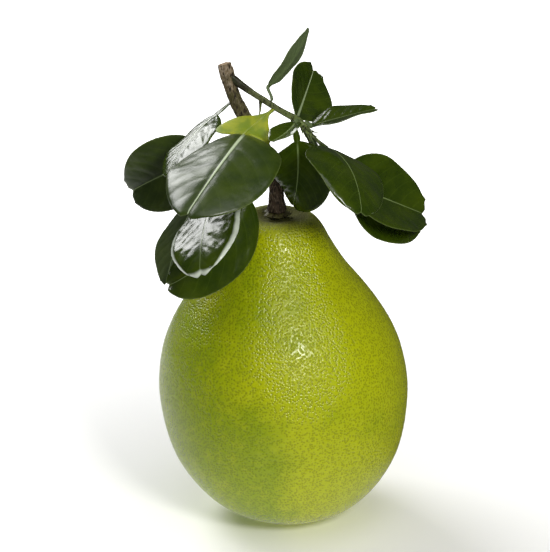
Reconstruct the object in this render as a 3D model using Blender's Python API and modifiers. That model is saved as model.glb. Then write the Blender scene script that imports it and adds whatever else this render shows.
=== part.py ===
"""A whole pomelo as picked: the pear-shaped fruit, its calyx, the woody fruit stalk, a green
side shoot with its spine, and fourteen leaves with winged petioles.

Run it with: blender --background --python part.py
The fruit stands on the flat spot at its blossom end. The origin is the centre of that spot,
+Z is up, and the side shoot hangs towards +X. Blender works in metres; the sizes below are
millimetres, and MM turns them into metres.
"""

import math

import bmesh
import bpy
from mathutils import Vector

MM = 0.001

# Fruit ---------------------------------------------------------------------------------
FLAT_SPOT_RADIUS = 17.0
# (radius, height) down the side of the fruit, from the rim round the calyx to the flat spot.
FRUIT_OUTLINE = (
    (9.0, 188.4), (15.5, 190.4), (22.5, 188.4), (28.0, 182.0), (33.0, 172.0), (41.5, 157.5),
    (54.5, 140.0), (65.5, 121.5), (72.3, 102.0), (74.6, 77.0), (69.0, 45.0), (55.0, 20.5),
    (37.0, 5.5), (FLAT_SPOT_RADIUS, 0.0),
)
FRUIT_SIDES = 44
FRUIT_ROWS = 27
FRUIT_LEAN = -0.039          # sideways drift of the fruit's axis, per unit of height
NECK_FURROWS = 5
NECK_FURROW_DEPTH = 0.9
NECK_START = 120.0           # the furrows fade in above this height
BELLY_SWELL = 0.7            # how far the belly is from round

# Calyx and stalk -----------------------------------------------------------------------
GAP = 0.3                    # clearance between pieces that meet
CALYX_CENTRE = (-7.4, 0.0, 188.7)
CALYX_LOBES = 5
CALYX_RADIUS = 8.6
CALYX_LOBE_DEPTH = 0.24
CALYX_HEIGHT = 4.2
# (x, y, z, radius) from the calyx to the cut end of the stalk.
STALK_PATH = (
    (-7.4, 0.0, 193.3, 6.0), (-7.4, 0.0, 197.0, 5.2), (-7.6, 0.8, 203.0, 4.5),
    (-8.0, 2.2, 210.5, 4.2), (-10.8, 4.5, 221.0, 4.1), (-16.5, 7.0, 232.5, 4.1),
    (-23.3, 8.5, 243.0, 4.0), (-29.2, 9.5, 253.0, 4.1), (-33.6, 11.0, 263.0, 3.9),
    (-36.8, 12.5, 274.0, 4.4), (-38.0, 13.0, 278.5, 3.9),
)
STALK_SIDES = 14
# (x, y, z, radius) along the side shoot, from inside the stalk to its growing tip.
SHOOT_PATH = (
    (-35.0, 12.0, 271.5, 2.6), (-27.6, 9.0, 266.8, 2.2), (-20.9, 5.0, 263.2, 1.8),
    (-15.0, 1.5, 260.4, 1.8), (-8.8, -2.0, 257.4, 1.8), (-2.6, -6.0, 254.8, 1.8),
    (3.7, -10.5, 252.7, 2.1), (7.7, -13.5, 249.8, 2.1), (10.2, -15.5, 247.2, 1.6),
    (13.5, -17.5, 245.0, 0.9), (17.0, -19.0, 242.0, 0.3),
)
SHOOT_SIDES = 10
# (x, y, z, radius) of the spine that stands on the underside of the shoot.
SPINE_PATH = ((-16.8, 2.0, 257.8, 0.9), (-17.0, 1.3, 254.4, 0.6), (-17.6, 0.3, 250.4, 0.2))
SPINE_SIDES = 8
PATH_STEPS = 4               # points that each stretch of a path is split into

# Leaves --------------------------------------------------------------------------------
LEAF_THICKNESS = 0.75
RIB_DEPTH = 0.9              # extra depth of the midrib under the leaf, at the petiole
RIB_WIDTH = 1.6
PETIOLE_HALF_WIDTH = 1.25
ROOT_CLEARANCE = 0.6         # from the bark to the foot of a petiole
WING_ROWS = (0.0, 0.2, 0.42, 0.64, 0.84)   # shares of the petiole's length
BLADE_ROWS = 17
ACROSS = (-1.0, -0.74, -0.34, 0.0, 0.34, 0.74, 1.0)
CRENATION = 0.012            # height of the blunt teeth, as a share of the half width
TIP_NOTCH = 0.035            # depth of the notch at the leaf's tip, as a share of its length


class Leaf:
    """One leaf: a winged petiole and a blade that meet at a joint.

    path and at say where on the stalk or the shoot the petiole stands. joint and tip are the
    ends of the blade's midrib. facing is roughly the way that the upper face looks at the
    blade, and wing_facing at the wing. arch is how far the midrib bows out towards the upper
    face, sweep how far it bows sideways, and widest where the blade is widest, as shares of
    its length. base is 1 for a blade that starts as a wedge and less for a round one. fold
    lifts the blade's halves into a V, cup curls its margins, and twist turns its tip about
    the midrib, in degrees.
    """

    def __init__(self, name, path, at, joint, tip, width, facing, wing_width=7.0, arch=0.1,
                 fold=0.16, cup=0.0, twist=0.0, sweep=0.0, wing_facing=None, widest=0.47,
                 base=0.66):
        self.name = name
        self.path = path
        self.at = at
        self.joint = Vector(joint)
        self.tip = Vector(tip)
        self.width = width
        self.facing = Vector(facing).normalized()
        self.wing_facing = Vector(wing_facing or facing).normalized()
        self.wing_width = wing_width
        self.arch = arch
        self.fold = fold
        self.cup = cup
        self.twist = math.radians(twist)
        self.sweep = sweep
        self.widest = widest
        self.base = base
        self.skew = math.log(0.5) / math.log(widest)


LEAVES = (
    Leaf("leaf_front", SHOOT_PATH, 4.1, (-25.5, -22.5, 248.0), (-56.0, -96.5, 226.0),
         width=63.5, facing=(-0.12, -0.25, 0.96), wing_width=35.0, arch=0.08, fold=-0.03,
         cup=-0.18, sweep=-0.045, wing_facing=(-0.05, -0.4, 0.9)),
    Leaf("leaf_upper_left", STALK_PATH, 7.6, (-43.0, 11.0, 249.0), (-70.0, -21.5, 223.5),
         width=40.0, facing=(-0.63, -0.13, 0.77), wing_width=5.0, arch=0.05, fold=-0.03,
         cup=-0.11, sweep=0.03),
    Leaf("leaf_far_left", STALK_PATH, 5.9, (-45.5, 19.0, 220.5), (-94.0, 30.5, 194.5),
         width=42.5, facing=(-0.19, -0.95, 0.24), wing_width=6.0, arch=0.11, fold=0.23,
         cup=0.15, sweep=0.02),
    Leaf("leaf_low_bright", STALK_PATH, 4.6, (-41.0, -39.0, 216.5), (-50.0, -90.0, 188.0),
         width=48.5, facing=(-0.55, -0.26, 0.79), wing_width=6.0, arch=0.08, fold=0.0,
         cup=-0.05),
    Leaf("leaf_low_green", STALK_PATH, 3.6, (-25.5, -23.0, 210.5), (-67.5, -60.0, 169.0),
         width=43.0, facing=(0.42, -0.9, 0.03), wing_width=7.0, arch=0.0, fold=0.11,
         sweep=-0.12),
    Leaf("leaf_low_back", STALK_PATH, 4.9, (-53.0, 12.5, 197.5), (-71.5, -29.0, 159.5),
         width=38.5, facing=(-0.73, -0.21, 0.65), wing_width=6.0, arch=0.07, fold=0.12,
         sweep=-0.03),
    Leaf("leaf_centre", SHOOT_PATH, 5.6, (4.5, -12.5, 240.0), (2.0, -13.0, 200.5),
         width=41.0, facing=(-0.4, -0.69, 0.6), wing_width=4.5, arch=0.1, fold=-0.05,
         cup=-0.09, sweep=-0.11, twist=12.0),
    Leaf("leaf_right_front", SHOOT_PATH, 7.6, (21.0, -15.5, 238.0), (41.0, -67.5, 216.5),
         width=51.0, facing=(0.51, -0.19, 0.84), wing_width=4.5, arch=0.13, fold=-0.07,
         cup=-0.07),
    Leaf("leaf_right", SHOOT_PATH, 7.2, (30.0, -7.5, 214.5), (80.0, 25.0, 182.5),
         width=47.0, facing=(0.78, -0.39, 0.5), wing_width=6.0, arch=0.01, fold=0.18,
         cup=0.15, sweep=0.01),
    Leaf("leaf_right_low", SHOOT_PATH, 6.3, (35.5, -1.5, 202.0), (78.0, 24.0, 177.0),
         width=41.0, facing=(0.65, -0.51, 0.57), wing_width=6.0, arch=-0.01, fold=0.05,
         sweep=0.02),
    Leaf("leaf_edge_on", SHOOT_PATH, 6.5, (13.0, -9.5, 248.5), (49.5, 0.5, 255.5),
         width=27.0, facing=(-0.19, -0.02, 0.98), wing_width=3.5, arch=0.02, fold=0.19,
         cup=0.04, sweep=0.02),
    Leaf("leaf_upright", SHOOT_PATH, 6.0, (4.0, -3.5, 249.5), (14.5, 44.0, 265.5),
         width=34.0, facing=(0.6, -0.56, 0.57), wing_width=3.5, arch=-0.05, fold=0.17,
         cup=0.16, sweep=0.03, twist=-15.0, widest=0.6, base=1.0),
    Leaf("leaf_narrow", SHOOT_PATH, 3.8, (-12.0, 4.5, 268.5), (10.5, 19.0, 297.0),
         width=23.0, facing=(-0.8, 0.46, 0.39), wing_width=3.5, arch=-0.08, fold=0.09,
         sweep=0.05),
    Leaf("leaf_folded", SHOOT_PATH, 6.4, (4.0, -20.0, 254.0), (-9.5, -40.0, 249.0),
         width=17.0, facing=(-0.3, -0.26, 0.92), wing_width=3.0, arch=-0.02, fold=0.36,
         sweep=-0.04, base=0.9),
)


def clear_scene():
    """Remove what the startup scene holds."""
    for obj in list(bpy.data.objects):
        bpy.data.objects.remove(obj, do_unlink=True)


def collection(name):
    """Make a collection in the scene and return it."""
    made = bpy.data.collections.new(name)
    bpy.context.scene.collection.children.link(made)
    return made


def material(name, colour, roughness):
    """Make a plain Principled material."""
    made = bpy.data.materials.new(name)
    made.use_nodes = True
    shader = made.node_tree.nodes["Principled BSDF"]
    shader.inputs["Base Color"].default_value = (*colour, 1.0)
    shader.inputs["Roughness"].default_value = roughness
    shader.inputs["Metallic"].default_value = 0.0
    return made


def object_from(name, bm, into, dressed_in):
    """Turn a bmesh into a smooth-shaded object in a collection."""
    bmesh.ops.recalc_face_normals(bm, faces=bm.faces)
    mesh = bpy.data.meshes.new(name)
    bm.to_mesh(mesh)
    bm.free()
    mesh.materials.append(dressed_in)
    mesh.shade_smooth()
    obj = bpy.data.objects.new(name, mesh)
    into.objects.link(obj)
    return obj


def smooth_step(low, high, x):
    """Rise smoothly from 0 at low to 1 at high."""
    share = min(1.0, max(0.0, (x - low) / (high - low)))
    return share * share * (3.0 - 2.0 * share)


def spline_point(points, at):
    """Point of a Catmull-Rom spline through points, for at from 0 to len(points) - 1."""
    last = len(points) - 1
    i = min(int(at), last - 1)
    t = at - i
    before, start = points[max(i - 1, 0)], points[i]
    end, after = points[i + 1], points[min(i + 2, last)]
    return tuple(
        0.5 * (2 * b + (c - a) * t + (2 * a - 5 * b + 4 * c - d) * t**2
               + (3 * b - a - 3 * c + d) * t**3)
        for a, b, c, d in zip(before, start, end, after)
    )


# Fruit ---------------------------------------------------------------------------------
def fruit_point(row, turn):
    """Point of the rind: row runs from 0 at the calyx rim to 1 at the flat spot's edge."""
    radius, height = spline_point(FRUIT_OUTLINE, row * (len(FRUIT_OUTLINE) - 1))
    neck = smooth_step(NECK_START, FRUIT_OUTLINE[3][1], height)
    furrow = 0.5 + 0.5 * math.cos(NECK_FURROWS * turn + 0.8 * math.sin(turn))
    belly = math.sin(math.pi * smooth_step(0.0, FRUIT_OUTLINE[0][1], height))
    radius -= NECK_FURROW_DEPTH * neck * furrow**2
    radius += BELLY_SWELL * belly * math.sin(2.0 * turn + 0.6)
    x = radius * math.cos(turn) + FRUIT_LEAN * height
    return Vector((x, radius * math.sin(turn), height)) * MM


def make_fruit(into, rind):
    """The fruit, from a sphere whose rings are laid on the outline."""
    bm = bmesh.new()
    bmesh.ops.create_uvsphere(bm, u_segments=FRUIT_SIDES, v_segments=FRUIT_ROWS + 2, radius=1.0)
    for vert in bm.verts:
        polar = math.acos(max(-1.0, min(1.0, vert.co.z)))
        ring = round(polar / math.pi * (FRUIT_ROWS + 2))
        turn = math.atan2(vert.co.y, vert.co.x)
        if ring == 0:
            vert.co = Vector((FRUIT_LEAN * 187.6, 0.0, 187.6)) * MM
        elif ring == FRUIT_ROWS + 2:
            vert.co = Vector((0.0, 0.0, 0.0))
        else:
            vert.co = fruit_point((ring - 1) / FRUIT_ROWS, turn)
    return object_from("fruit", bm, into, rind)


# Calyx, stalk and shoot ----------------------------------------------------------------
def make_calyx(into, green):
    """The calyx: a low cup with five blunt lobes, which the stalk stands on."""
    bm = bmesh.new()
    sides = 8 * CALYX_LOBES
    bmesh.ops.create_cone(bm, cap_ends=True, segments=sides, radius1=0.72, radius2=1.0, depth=1.0)
    for vert in bm.verts:
        turn = math.atan2(vert.co.y, vert.co.x)
        lobe = 1.0 - CALYX_LOBE_DEPTH * (0.5 - 0.5 * math.cos(CALYX_LOBES * turn + 0.4))
        crumple = 1.0 + 0.05 * math.sin(3.0 * turn + 1.0)
        reach = math.hypot(vert.co.x, vert.co.y) * CALYX_RADIUS * lobe * crumple
        rise = CALYX_HEIGHT * (vert.co.z + 0.5)
        vert.co = Vector((reach * math.cos(turn), reach * math.sin(turn), rise)) * MM
    calyx = object_from("calyx", bm, into, green)
    calyx.location = Vector(CALYX_CENTRE) * MM
    return calyx


def tube(name, path, sides, swell=0.0):
    """A curve along (x, y, z, radius) points, as a closed mesh object with filled caps."""
    curve = bpy.data.curves.new(name, "CURVE")
    curve.dimensions = "3D"
    curve.bevel_depth = MM
    curve.bevel_resolution = (sides - 4) // 2
    curve.use_fill_caps = True
    spline = curve.splines.new("POLY")
    steps = PATH_STEPS * (len(path) - 1)
    spline.points.add(steps)
    for i, point in enumerate(spline.points):
        x, y, z, radius = spline_point(path, i / PATH_STEPS)
        point.co = (x * MM, y * MM, z * MM, 1.0)
        point.radius = radius + swell
    made = bpy.data.objects.new(name, curve)
    bpy.context.scene.collection.objects.link(made)
    bpy.context.view_layer.update()
    mesh = bpy.data.meshes.new_from_object(
        made.evaluated_get(bpy.context.evaluated_depsgraph_get())
    )
    bpy.data.objects.remove(made)
    bpy.data.curves.remove(curve)
    bm = bmesh.new()
    bm.from_mesh(mesh)
    bpy.data.meshes.remove(mesh)
    bmesh.ops.remove_doubles(bm, verts=bm.verts, dist=0.01 * MM)
    return bm


def make_stalk(into, bark):
    """The woody fruit stalk, from the calyx to its cut end."""
    return object_from("stalk", tube("stalk", STALK_PATH, STALK_SIDES), into, bark)


def make_shoot(into, cutters, green):
    """The green side shoot, cut back from the stalk that it grows from."""
    shoot = object_from("side_shoot", tube("side_shoot", SHOOT_PATH, SHOOT_SIDES), into, green)
    seat = object_from(
        "stalk_seat", tube("stalk_seat", STALK_PATH, STALK_SIDES, swell=GAP), cutters, green
    )
    seat.hide_render = True
    seat.display_type = "WIRE"
    cut = shoot.modifiers.new("cut back from the stalk", "BOOLEAN")
    cut.operation = "DIFFERENCE"
    cut.object = seat
    return shoot


def make_spine(into, green):
    """The spine in the axil of the shoot's first leaf."""
    return object_from("spine", tube("spine", SPINE_PATH, SPINE_SIDES), into, green)


# Leaves --------------------------------------------------------------------------------
def root(leaf):
    """(foot of the petiole, way out): just clear of the bark, on the side of the joint."""
    *centre, radius = spline_point(leaf.path, leaf.at)
    ahead = Vector(spline_point(leaf.path, leaf.at + 0.1)[:3]) - Vector(centre)
    out = (leaf.joint - Vector(centre)).normalized()
    slant = max(0.5, out.cross(ahead.normalized()).length)
    reach = radius + ROOT_CLEARANCE + PETIOLE_HALF_WIDTH * math.sqrt(1.0 - min(1.0, slant**2))
    return Vector(centre) + out * (reach / slant), out


def wing_half_width(leaf, share):
    """Half width of the petiole, from its foot at 0 to the joint at 1."""
    grown = smooth_step(0.08, 0.8, share)
    closing = math.sqrt(max(0.0, 1.0 - (max(0.0, share - 0.8) / 0.2) ** 2))
    wing = leaf.wing_width / 2 - PETIOLE_HALF_WIDTH
    return PETIOLE_HALF_WIDTH + wing * grown * closing


def blade_half_width(leaf, share, row):
    """Half width of the blade, from the joint at 0 to the tip at 1."""
    along = 0.968 * share**leaf.skew
    power = leaf.base + (0.54 - leaf.base) * smooth_step(0.0, leaf.widest - 0.17, share)
    body = (4.0 * along * (1.0 - along)) ** power
    tooth = CRENATION * (1 if row % 2 else -1) * smooth_step(0.1, 0.3, share)
    return max(PETIOLE_HALF_WIDTH, leaf.width / 2 * body * (1.0 + tooth))


def blade_centre(leaf, share):
    """Point of the blade's midrib: a bow from the joint to the tip."""
    chord = leaf.tip - leaf.joint
    up = (leaf.facing - leaf.facing.project(chord)).normalized()
    aside = chord.normalized().cross(up)
    bow = 4.0 * share * (1.0 - share) * chord.length
    return leaf.joint + chord * share + (up * leaf.arch + aside * leaf.sweep) * bow


def wing_centre(leaf, share):
    """Point of the petiole's midrib: straight out of the bark, then along the blade."""
    foot, out = root(leaf)
    away = (blade_centre(leaf, 0.04) - leaf.joint).normalized()
    reach = 0.4 * (leaf.joint - foot).length
    left = 1.0 - share
    return (foot * left**3 + (foot + out * reach) * (3 * left**2 * share)
            + (leaf.joint - away * reach) * (3 * left * share**2) + leaf.joint * share**3)


def leaf_rows(leaf):
    """Rows across the leaf as (centre, along, half width, facing, share, is blade)."""
    rows = []
    for share in WING_ROWS:
        ahead = wing_centre(leaf, share + 0.02) - wing_centre(leaf, share)
        rows.append((wing_centre(leaf, share), ahead.normalized(),
                     wing_half_width(leaf, share), leaf.wing_facing, share, False))
    for i in range(BLADE_ROWS):
        share = (i / (BLADE_ROWS - 1)) ** 1.1
        ahead = blade_centre(leaf, share + 0.02) - blade_centre(leaf, share - 0.02)
        facing = leaf.wing_facing.lerp(leaf.facing, smooth_step(0.0, 0.12, share))
        rows.append((blade_centre(leaf, share), ahead.normalized(),
                     blade_half_width(leaf, share, i), facing, share, True))
    return rows


def leaf_point(leaf, row, across):
    """(point, share of the rib's depth) of the upper face; across runs from -1 to 1."""
    centre, along, half, facing, share, is_blade = row
    up = (facing - facing.project(along)).normalized()
    aside = along.cross(up)
    lift = leaf.fold * abs(across) * half
    if is_blade:
        length = (leaf.tip - leaf.joint).length
        turn = leaf.twist * share
        up, aside = (up * math.cos(turn) - aside * math.sin(turn),
                     aside * math.cos(turn) + up * math.sin(turn))
        lift += leaf.cup * across**2 * half
        lift += 0.05 * half * abs(across) * math.sin(9.0 * share + 2.0 * across)
        notch = TIP_NOTCH * max(0.0, 1.0 - abs(across) / 0.34)
        ahead = length * smooth_step(0.8, 1.0, share) * (0.045 * (1 - across**2) - notch)
    else:
        ahead = 0.45 * half * across**2 * smooth_step(0.5, 0.9, share)
    rib = math.exp(-((across * half / RIB_WIDTH) ** 2))
    if is_blade:
        rib *= 1.0 - 0.85 * share
    return (centre + aside * (across * half) + up * lift + along * ahead) * MM, rib


def make_leaf(into, green, leaf):
    """One leaf: a sheet from the rows above, thickened below, with its midrib raised."""
    rows = leaf_rows(leaf)
    bm = bmesh.new()
    bmesh.ops.create_grid(bm, x_segments=len(rows) - 1, y_segments=len(ACROSS) - 1, size=1.0)
    depth = bm.verts.layers.deform.verify()
    thickest = LEAF_THICKNESS + RIB_DEPTH
    for vert in bm.verts:
        row = rows[round((vert.co.x + 1) / 2 * (len(rows) - 1))]
        across = ACROSS[round((vert.co.y + 1) / 2 * (len(ACROSS) - 1))]
        vert.co, rib = leaf_point(leaf, row, across)
        vert[depth][0] = (LEAF_THICKNESS + RIB_DEPTH * rib) / thickest
    bmesh.ops.triangulate(bm, faces=bm.faces)
    middle = rows[len(WING_ROWS) + BLADE_ROWS // 2]
    face = min(bm.faces, key=lambda f: (f.calc_center_median() - middle[0] * MM).length)
    if face.normal.dot(leaf.facing) < 0:
        bmesh.ops.reverse_faces(bm, faces=bm.faces)
    mesh = bpy.data.meshes.new(leaf.name)
    bm.to_mesh(mesh)
    bm.free()
    mesh.materials.append(green)
    mesh.shade_smooth()
    obj = bpy.data.objects.new(leaf.name, mesh)
    into.objects.link(obj)
    obj.vertex_groups.new(name="depth")
    solid = obj.modifiers.new("thickness", "SOLIDIFY")
    solid.thickness = thickest * MM
    solid.offset = -1.0
    solid.vertex_group = "depth"
    solid.use_even_offset = False
    return obj


def main():
    """Build every piece of the pomelo."""
    clear_scene()
    pomelo = collection("pomelo")
    cutters = collection("cutters")
    rind = material("rind", (0.30, 0.36, 0.02), 0.38)
    button = material("calyx", (0.20, 0.19, 0.05), 0.7)
    bark = material("bark", (0.11, 0.085, 0.05), 0.85)
    green_bark = material("green bark", (0.09, 0.12, 0.03), 0.6)
    leaf_green = material("leaf", (0.035, 0.075, 0.012), 0.3)
    make_fruit(pomelo, rind)
    make_calyx(pomelo, button)
    make_stalk(pomelo, bark)
    make_shoot(pomelo, cutters, green_bark)
    make_spine(pomelo, green_bark)
    for leaf in LEAVES:
        make_leaf(pomelo, leaf_green, leaf)


main()
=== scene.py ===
"""Looks of a whole pomelo as picked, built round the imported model.

Here are the fruit's pebbled rind, its calyx, the woody stalk, the side shoot with the bracts at
its tip, the spine, and fourteen leaves with winged petioles. They stand on a pale floor in soft
studio light. Sizes are in millimetres where a name or a comment doesn't say otherwise.
"""

from __future__ import annotations

import logging
import math
from collections.abc import Mapping
from dataclasses import dataclass, field
from enum import Enum
from functools import reduce

import bmesh
import bpy
import numpy as np
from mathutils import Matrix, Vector

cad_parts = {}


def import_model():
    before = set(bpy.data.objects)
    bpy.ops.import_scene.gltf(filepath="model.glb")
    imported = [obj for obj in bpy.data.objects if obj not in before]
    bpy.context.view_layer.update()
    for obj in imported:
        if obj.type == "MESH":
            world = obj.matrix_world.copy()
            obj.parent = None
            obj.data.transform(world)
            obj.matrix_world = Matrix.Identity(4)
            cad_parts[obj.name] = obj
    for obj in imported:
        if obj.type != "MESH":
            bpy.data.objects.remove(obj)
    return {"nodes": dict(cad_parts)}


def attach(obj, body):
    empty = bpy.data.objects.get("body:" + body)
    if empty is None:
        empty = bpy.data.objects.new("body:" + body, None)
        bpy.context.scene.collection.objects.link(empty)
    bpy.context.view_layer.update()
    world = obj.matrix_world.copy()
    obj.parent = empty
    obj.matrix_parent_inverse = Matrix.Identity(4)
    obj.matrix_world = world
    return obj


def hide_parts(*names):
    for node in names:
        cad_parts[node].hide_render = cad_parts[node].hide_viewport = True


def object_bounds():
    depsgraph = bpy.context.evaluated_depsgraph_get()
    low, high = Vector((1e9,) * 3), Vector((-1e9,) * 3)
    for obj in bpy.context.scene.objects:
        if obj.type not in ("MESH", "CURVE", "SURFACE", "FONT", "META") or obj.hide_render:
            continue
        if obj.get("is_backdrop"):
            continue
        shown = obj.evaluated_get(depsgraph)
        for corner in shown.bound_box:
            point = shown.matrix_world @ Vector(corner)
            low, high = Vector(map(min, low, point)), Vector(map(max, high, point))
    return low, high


MM = 0.001
PER_M = 1000.0
BODY = "root"

Colour = tuple[float, float, float]
Point = tuple[float, float, float]
PathPoint = tuple[float, float, float, float]    # a place and the radius there
Span = tuple[float, float]                       # where something starts and where it ends
Pair = tuple[float, float]

ORIGIN: Point = (0.0, 0.0, 0.0)
WHITE: Colour = (1.0, 1.0, 1.0)

log = logging.getLogger("pomelo")


# Small sums ----------------------------------------------------------------------------
def metres(*sizes: float) -> tuple[float, ...]:
    """Turn millimetres into metres."""
    return tuple(size * MM for size in sizes)


def smooth_step(low: float, high: float, x: float) -> float:
    """Rise smoothly from 0 at low to 1 at high."""
    share = min(1.0, max(0.0, (x - low) / (high - low)))
    return share * share * (3.0 - 2.0 * share)


def spline_point(points: tuple[tuple[float, ...], ...], at: float) -> tuple[float, ...]:
    """Find a point of a Catmull-Rom spline.

    Args:
        points: The points that the spline runs through.
        at: How far along, from 0 at the first point to len(points) - 1 at the last.

    Returns:
        The point there, with as many numbers as the others.
    """
    last = len(points) - 1
    i = min(int(at), last - 1)
    t = at - i
    before, start = points[max(i - 1, 0)], points[i]
    end, after = points[i + 1], points[min(i + 2, last)]
    return tuple(
        0.5 * (2 * b + (c - a) * t + (2 * a - 5 * b + 4 * c - d) * t**2
               + (3 * b - a - 3 * c + d) * t**3)
        for a, b, c, d in zip(before, start, end, after)
    )


def direction(azimuth: float, elevation: float) -> Vector:
    """Way from the fruit to something round it, from its azimuth and elevation in degrees."""
    a, e = math.radians(azimuth), math.radians(elevation)
    return Vector((math.sin(a) * math.cos(e), -math.cos(a) * math.cos(e), math.sin(e)))


# Node trees ----------------------------------------------------------------------------
Socket = bpy.types.NodeSocket
Value = Socket | float | int | bool | tuple | str

MOST_NOISE: Span = (0.3, 0.7)    # where most of a smooth noise lies
FINE_GRAIN = (4.0, 0.65)         # detail and roughness of the noise behind bark


class Graph:
    """Writes one node tree, for a material or for Geometry Nodes."""

    def __init__(self, tree: bpy.types.NodeTree) -> None:
        """Start on a tree."""
        self.tree = tree

    def feed(self, socket: Socket, value: Value) -> None:
        """Link a socket to another, or set its value.

        Args:
            socket: The socket that is fed.
            value: The other socket, or the value.
        """
        if isinstance(value, Socket):
            self.tree.links.new(value, socket)
        else:
            socket.default_value = value

    def add(self, kind: str, inputs: Mapping[str | int, Value] | None = None,
            **settings: object) -> bpy.types.Node:
        """Add a node.

        Args:
            kind: The node's type.
            inputs: What its sockets get, by name or number.
            settings: What its own properties are set to.

        Returns:
            The node.
        """
        node = self.tree.nodes.new(kind)
        for name, value in settings.items():
            setattr(node, name, value)
        for key, value in (inputs or {}).items():
            self.feed(node.inputs[key], value)
        return node

    def sum(self, operation: str, *values: Value, clamp: bool = False) -> Socket:
        """Do one sum of a Math node.

        Args:
            operation: Which sum it is.
            values: What the sum is done on.
            clamp: Whether the result is kept from 0 to 1.

        Returns:
            The result.
        """
        node = self.add("ShaderNodeMath", operation=operation, use_clamp=clamp)
        for socket, value in zip(node.inputs, values):
            self.feed(socket, value)
        return node.outputs[0]

    def times(self, *values: Value) -> Socket:
        """Multiply values."""
        return reduce(lambda first, second: self.sum("MULTIPLY", first, second), values)

    def plus(self, *values: Value) -> Socket:
        """Add values up."""
        return reduce(lambda first, second: self.sum("ADD", first, second), values)

    def minus(self, *values: Value) -> Socket:
        """Take the later values from the first."""
        return reduce(lambda first, second: self.sum("SUBTRACT", first, second), values)

    def rise(self, value: Value, low: float, high: float, start: float = 0.0,
             end: float = 1.0) -> Socket:
        """Map a value from low..high to start..end, smoothly and no further."""
        return self.add("ShaderNodeMapRange", {
            "Value": value, "From Min": low, "From Max": high, "To Min": start, "To Max": end,
        }, interpolation_type="SMOOTHSTEP").outputs[0]

    def mix(self, share: Value, low: Value, high: Value) -> Socket:
        """Mix two colours.

        Args:
            share: How much of the second colour there is, from 0 to 1.
            low: The first colour.
            high: The second colour.

        Returns:
            The mixed colour.
        """
        node = self.add("ShaderNodeMix", data_type="RGBA")
        for number, value in ((0, share), (6, low), (7, high)):
            self.feed(node.inputs[number], (*value, 1.0) if isinstance(value, tuple) else value)
        return node.outputs[2]

    def noise(self, at: Value, pitch: float, detail: float = 2.0,
              roughness: float = 0.5) -> Socket:
        """Smooth noise about 0.5, with features of about pitch millimetres."""
        return self.add("ShaderNodeTexNoise", {
            "Vector": at, "Scale": PER_M / pitch, "Detail": detail, "Roughness": roughness,
        }).outputs[0]

    def cells(self, at: Value, pitch: float, scatter: float = 1.0) -> Socket:
        """Distance from the middle of the nearest cell, for cells pitch millimetres apart."""
        return self.add("ShaderNodeTexVoronoi", {
            "Vector": at, "Scale": PER_M / pitch, "Randomness": scatter,
        }).outputs["Distance"]

    def distance(self, at: Value, place: Point) -> Socket:
        """Distance from a place, in metres."""
        return self.add("ShaderNodeVectorMath", {0: at, 1: place},
                        operation="DISTANCE").outputs["Value"]

    def axis(self, vector: Value, name: str) -> Socket:
        """X, Y or Z of a vector."""
        return self.add("ShaderNodeSeparateXYZ", {0: vector}).outputs[name]

    def own(self, name: str) -> Socket:
        """Read a decimal attribute of the piece that a material is on."""
        return self.add("ShaderNodeAttribute", attribute_name=name).outputs["Fac"]


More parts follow.
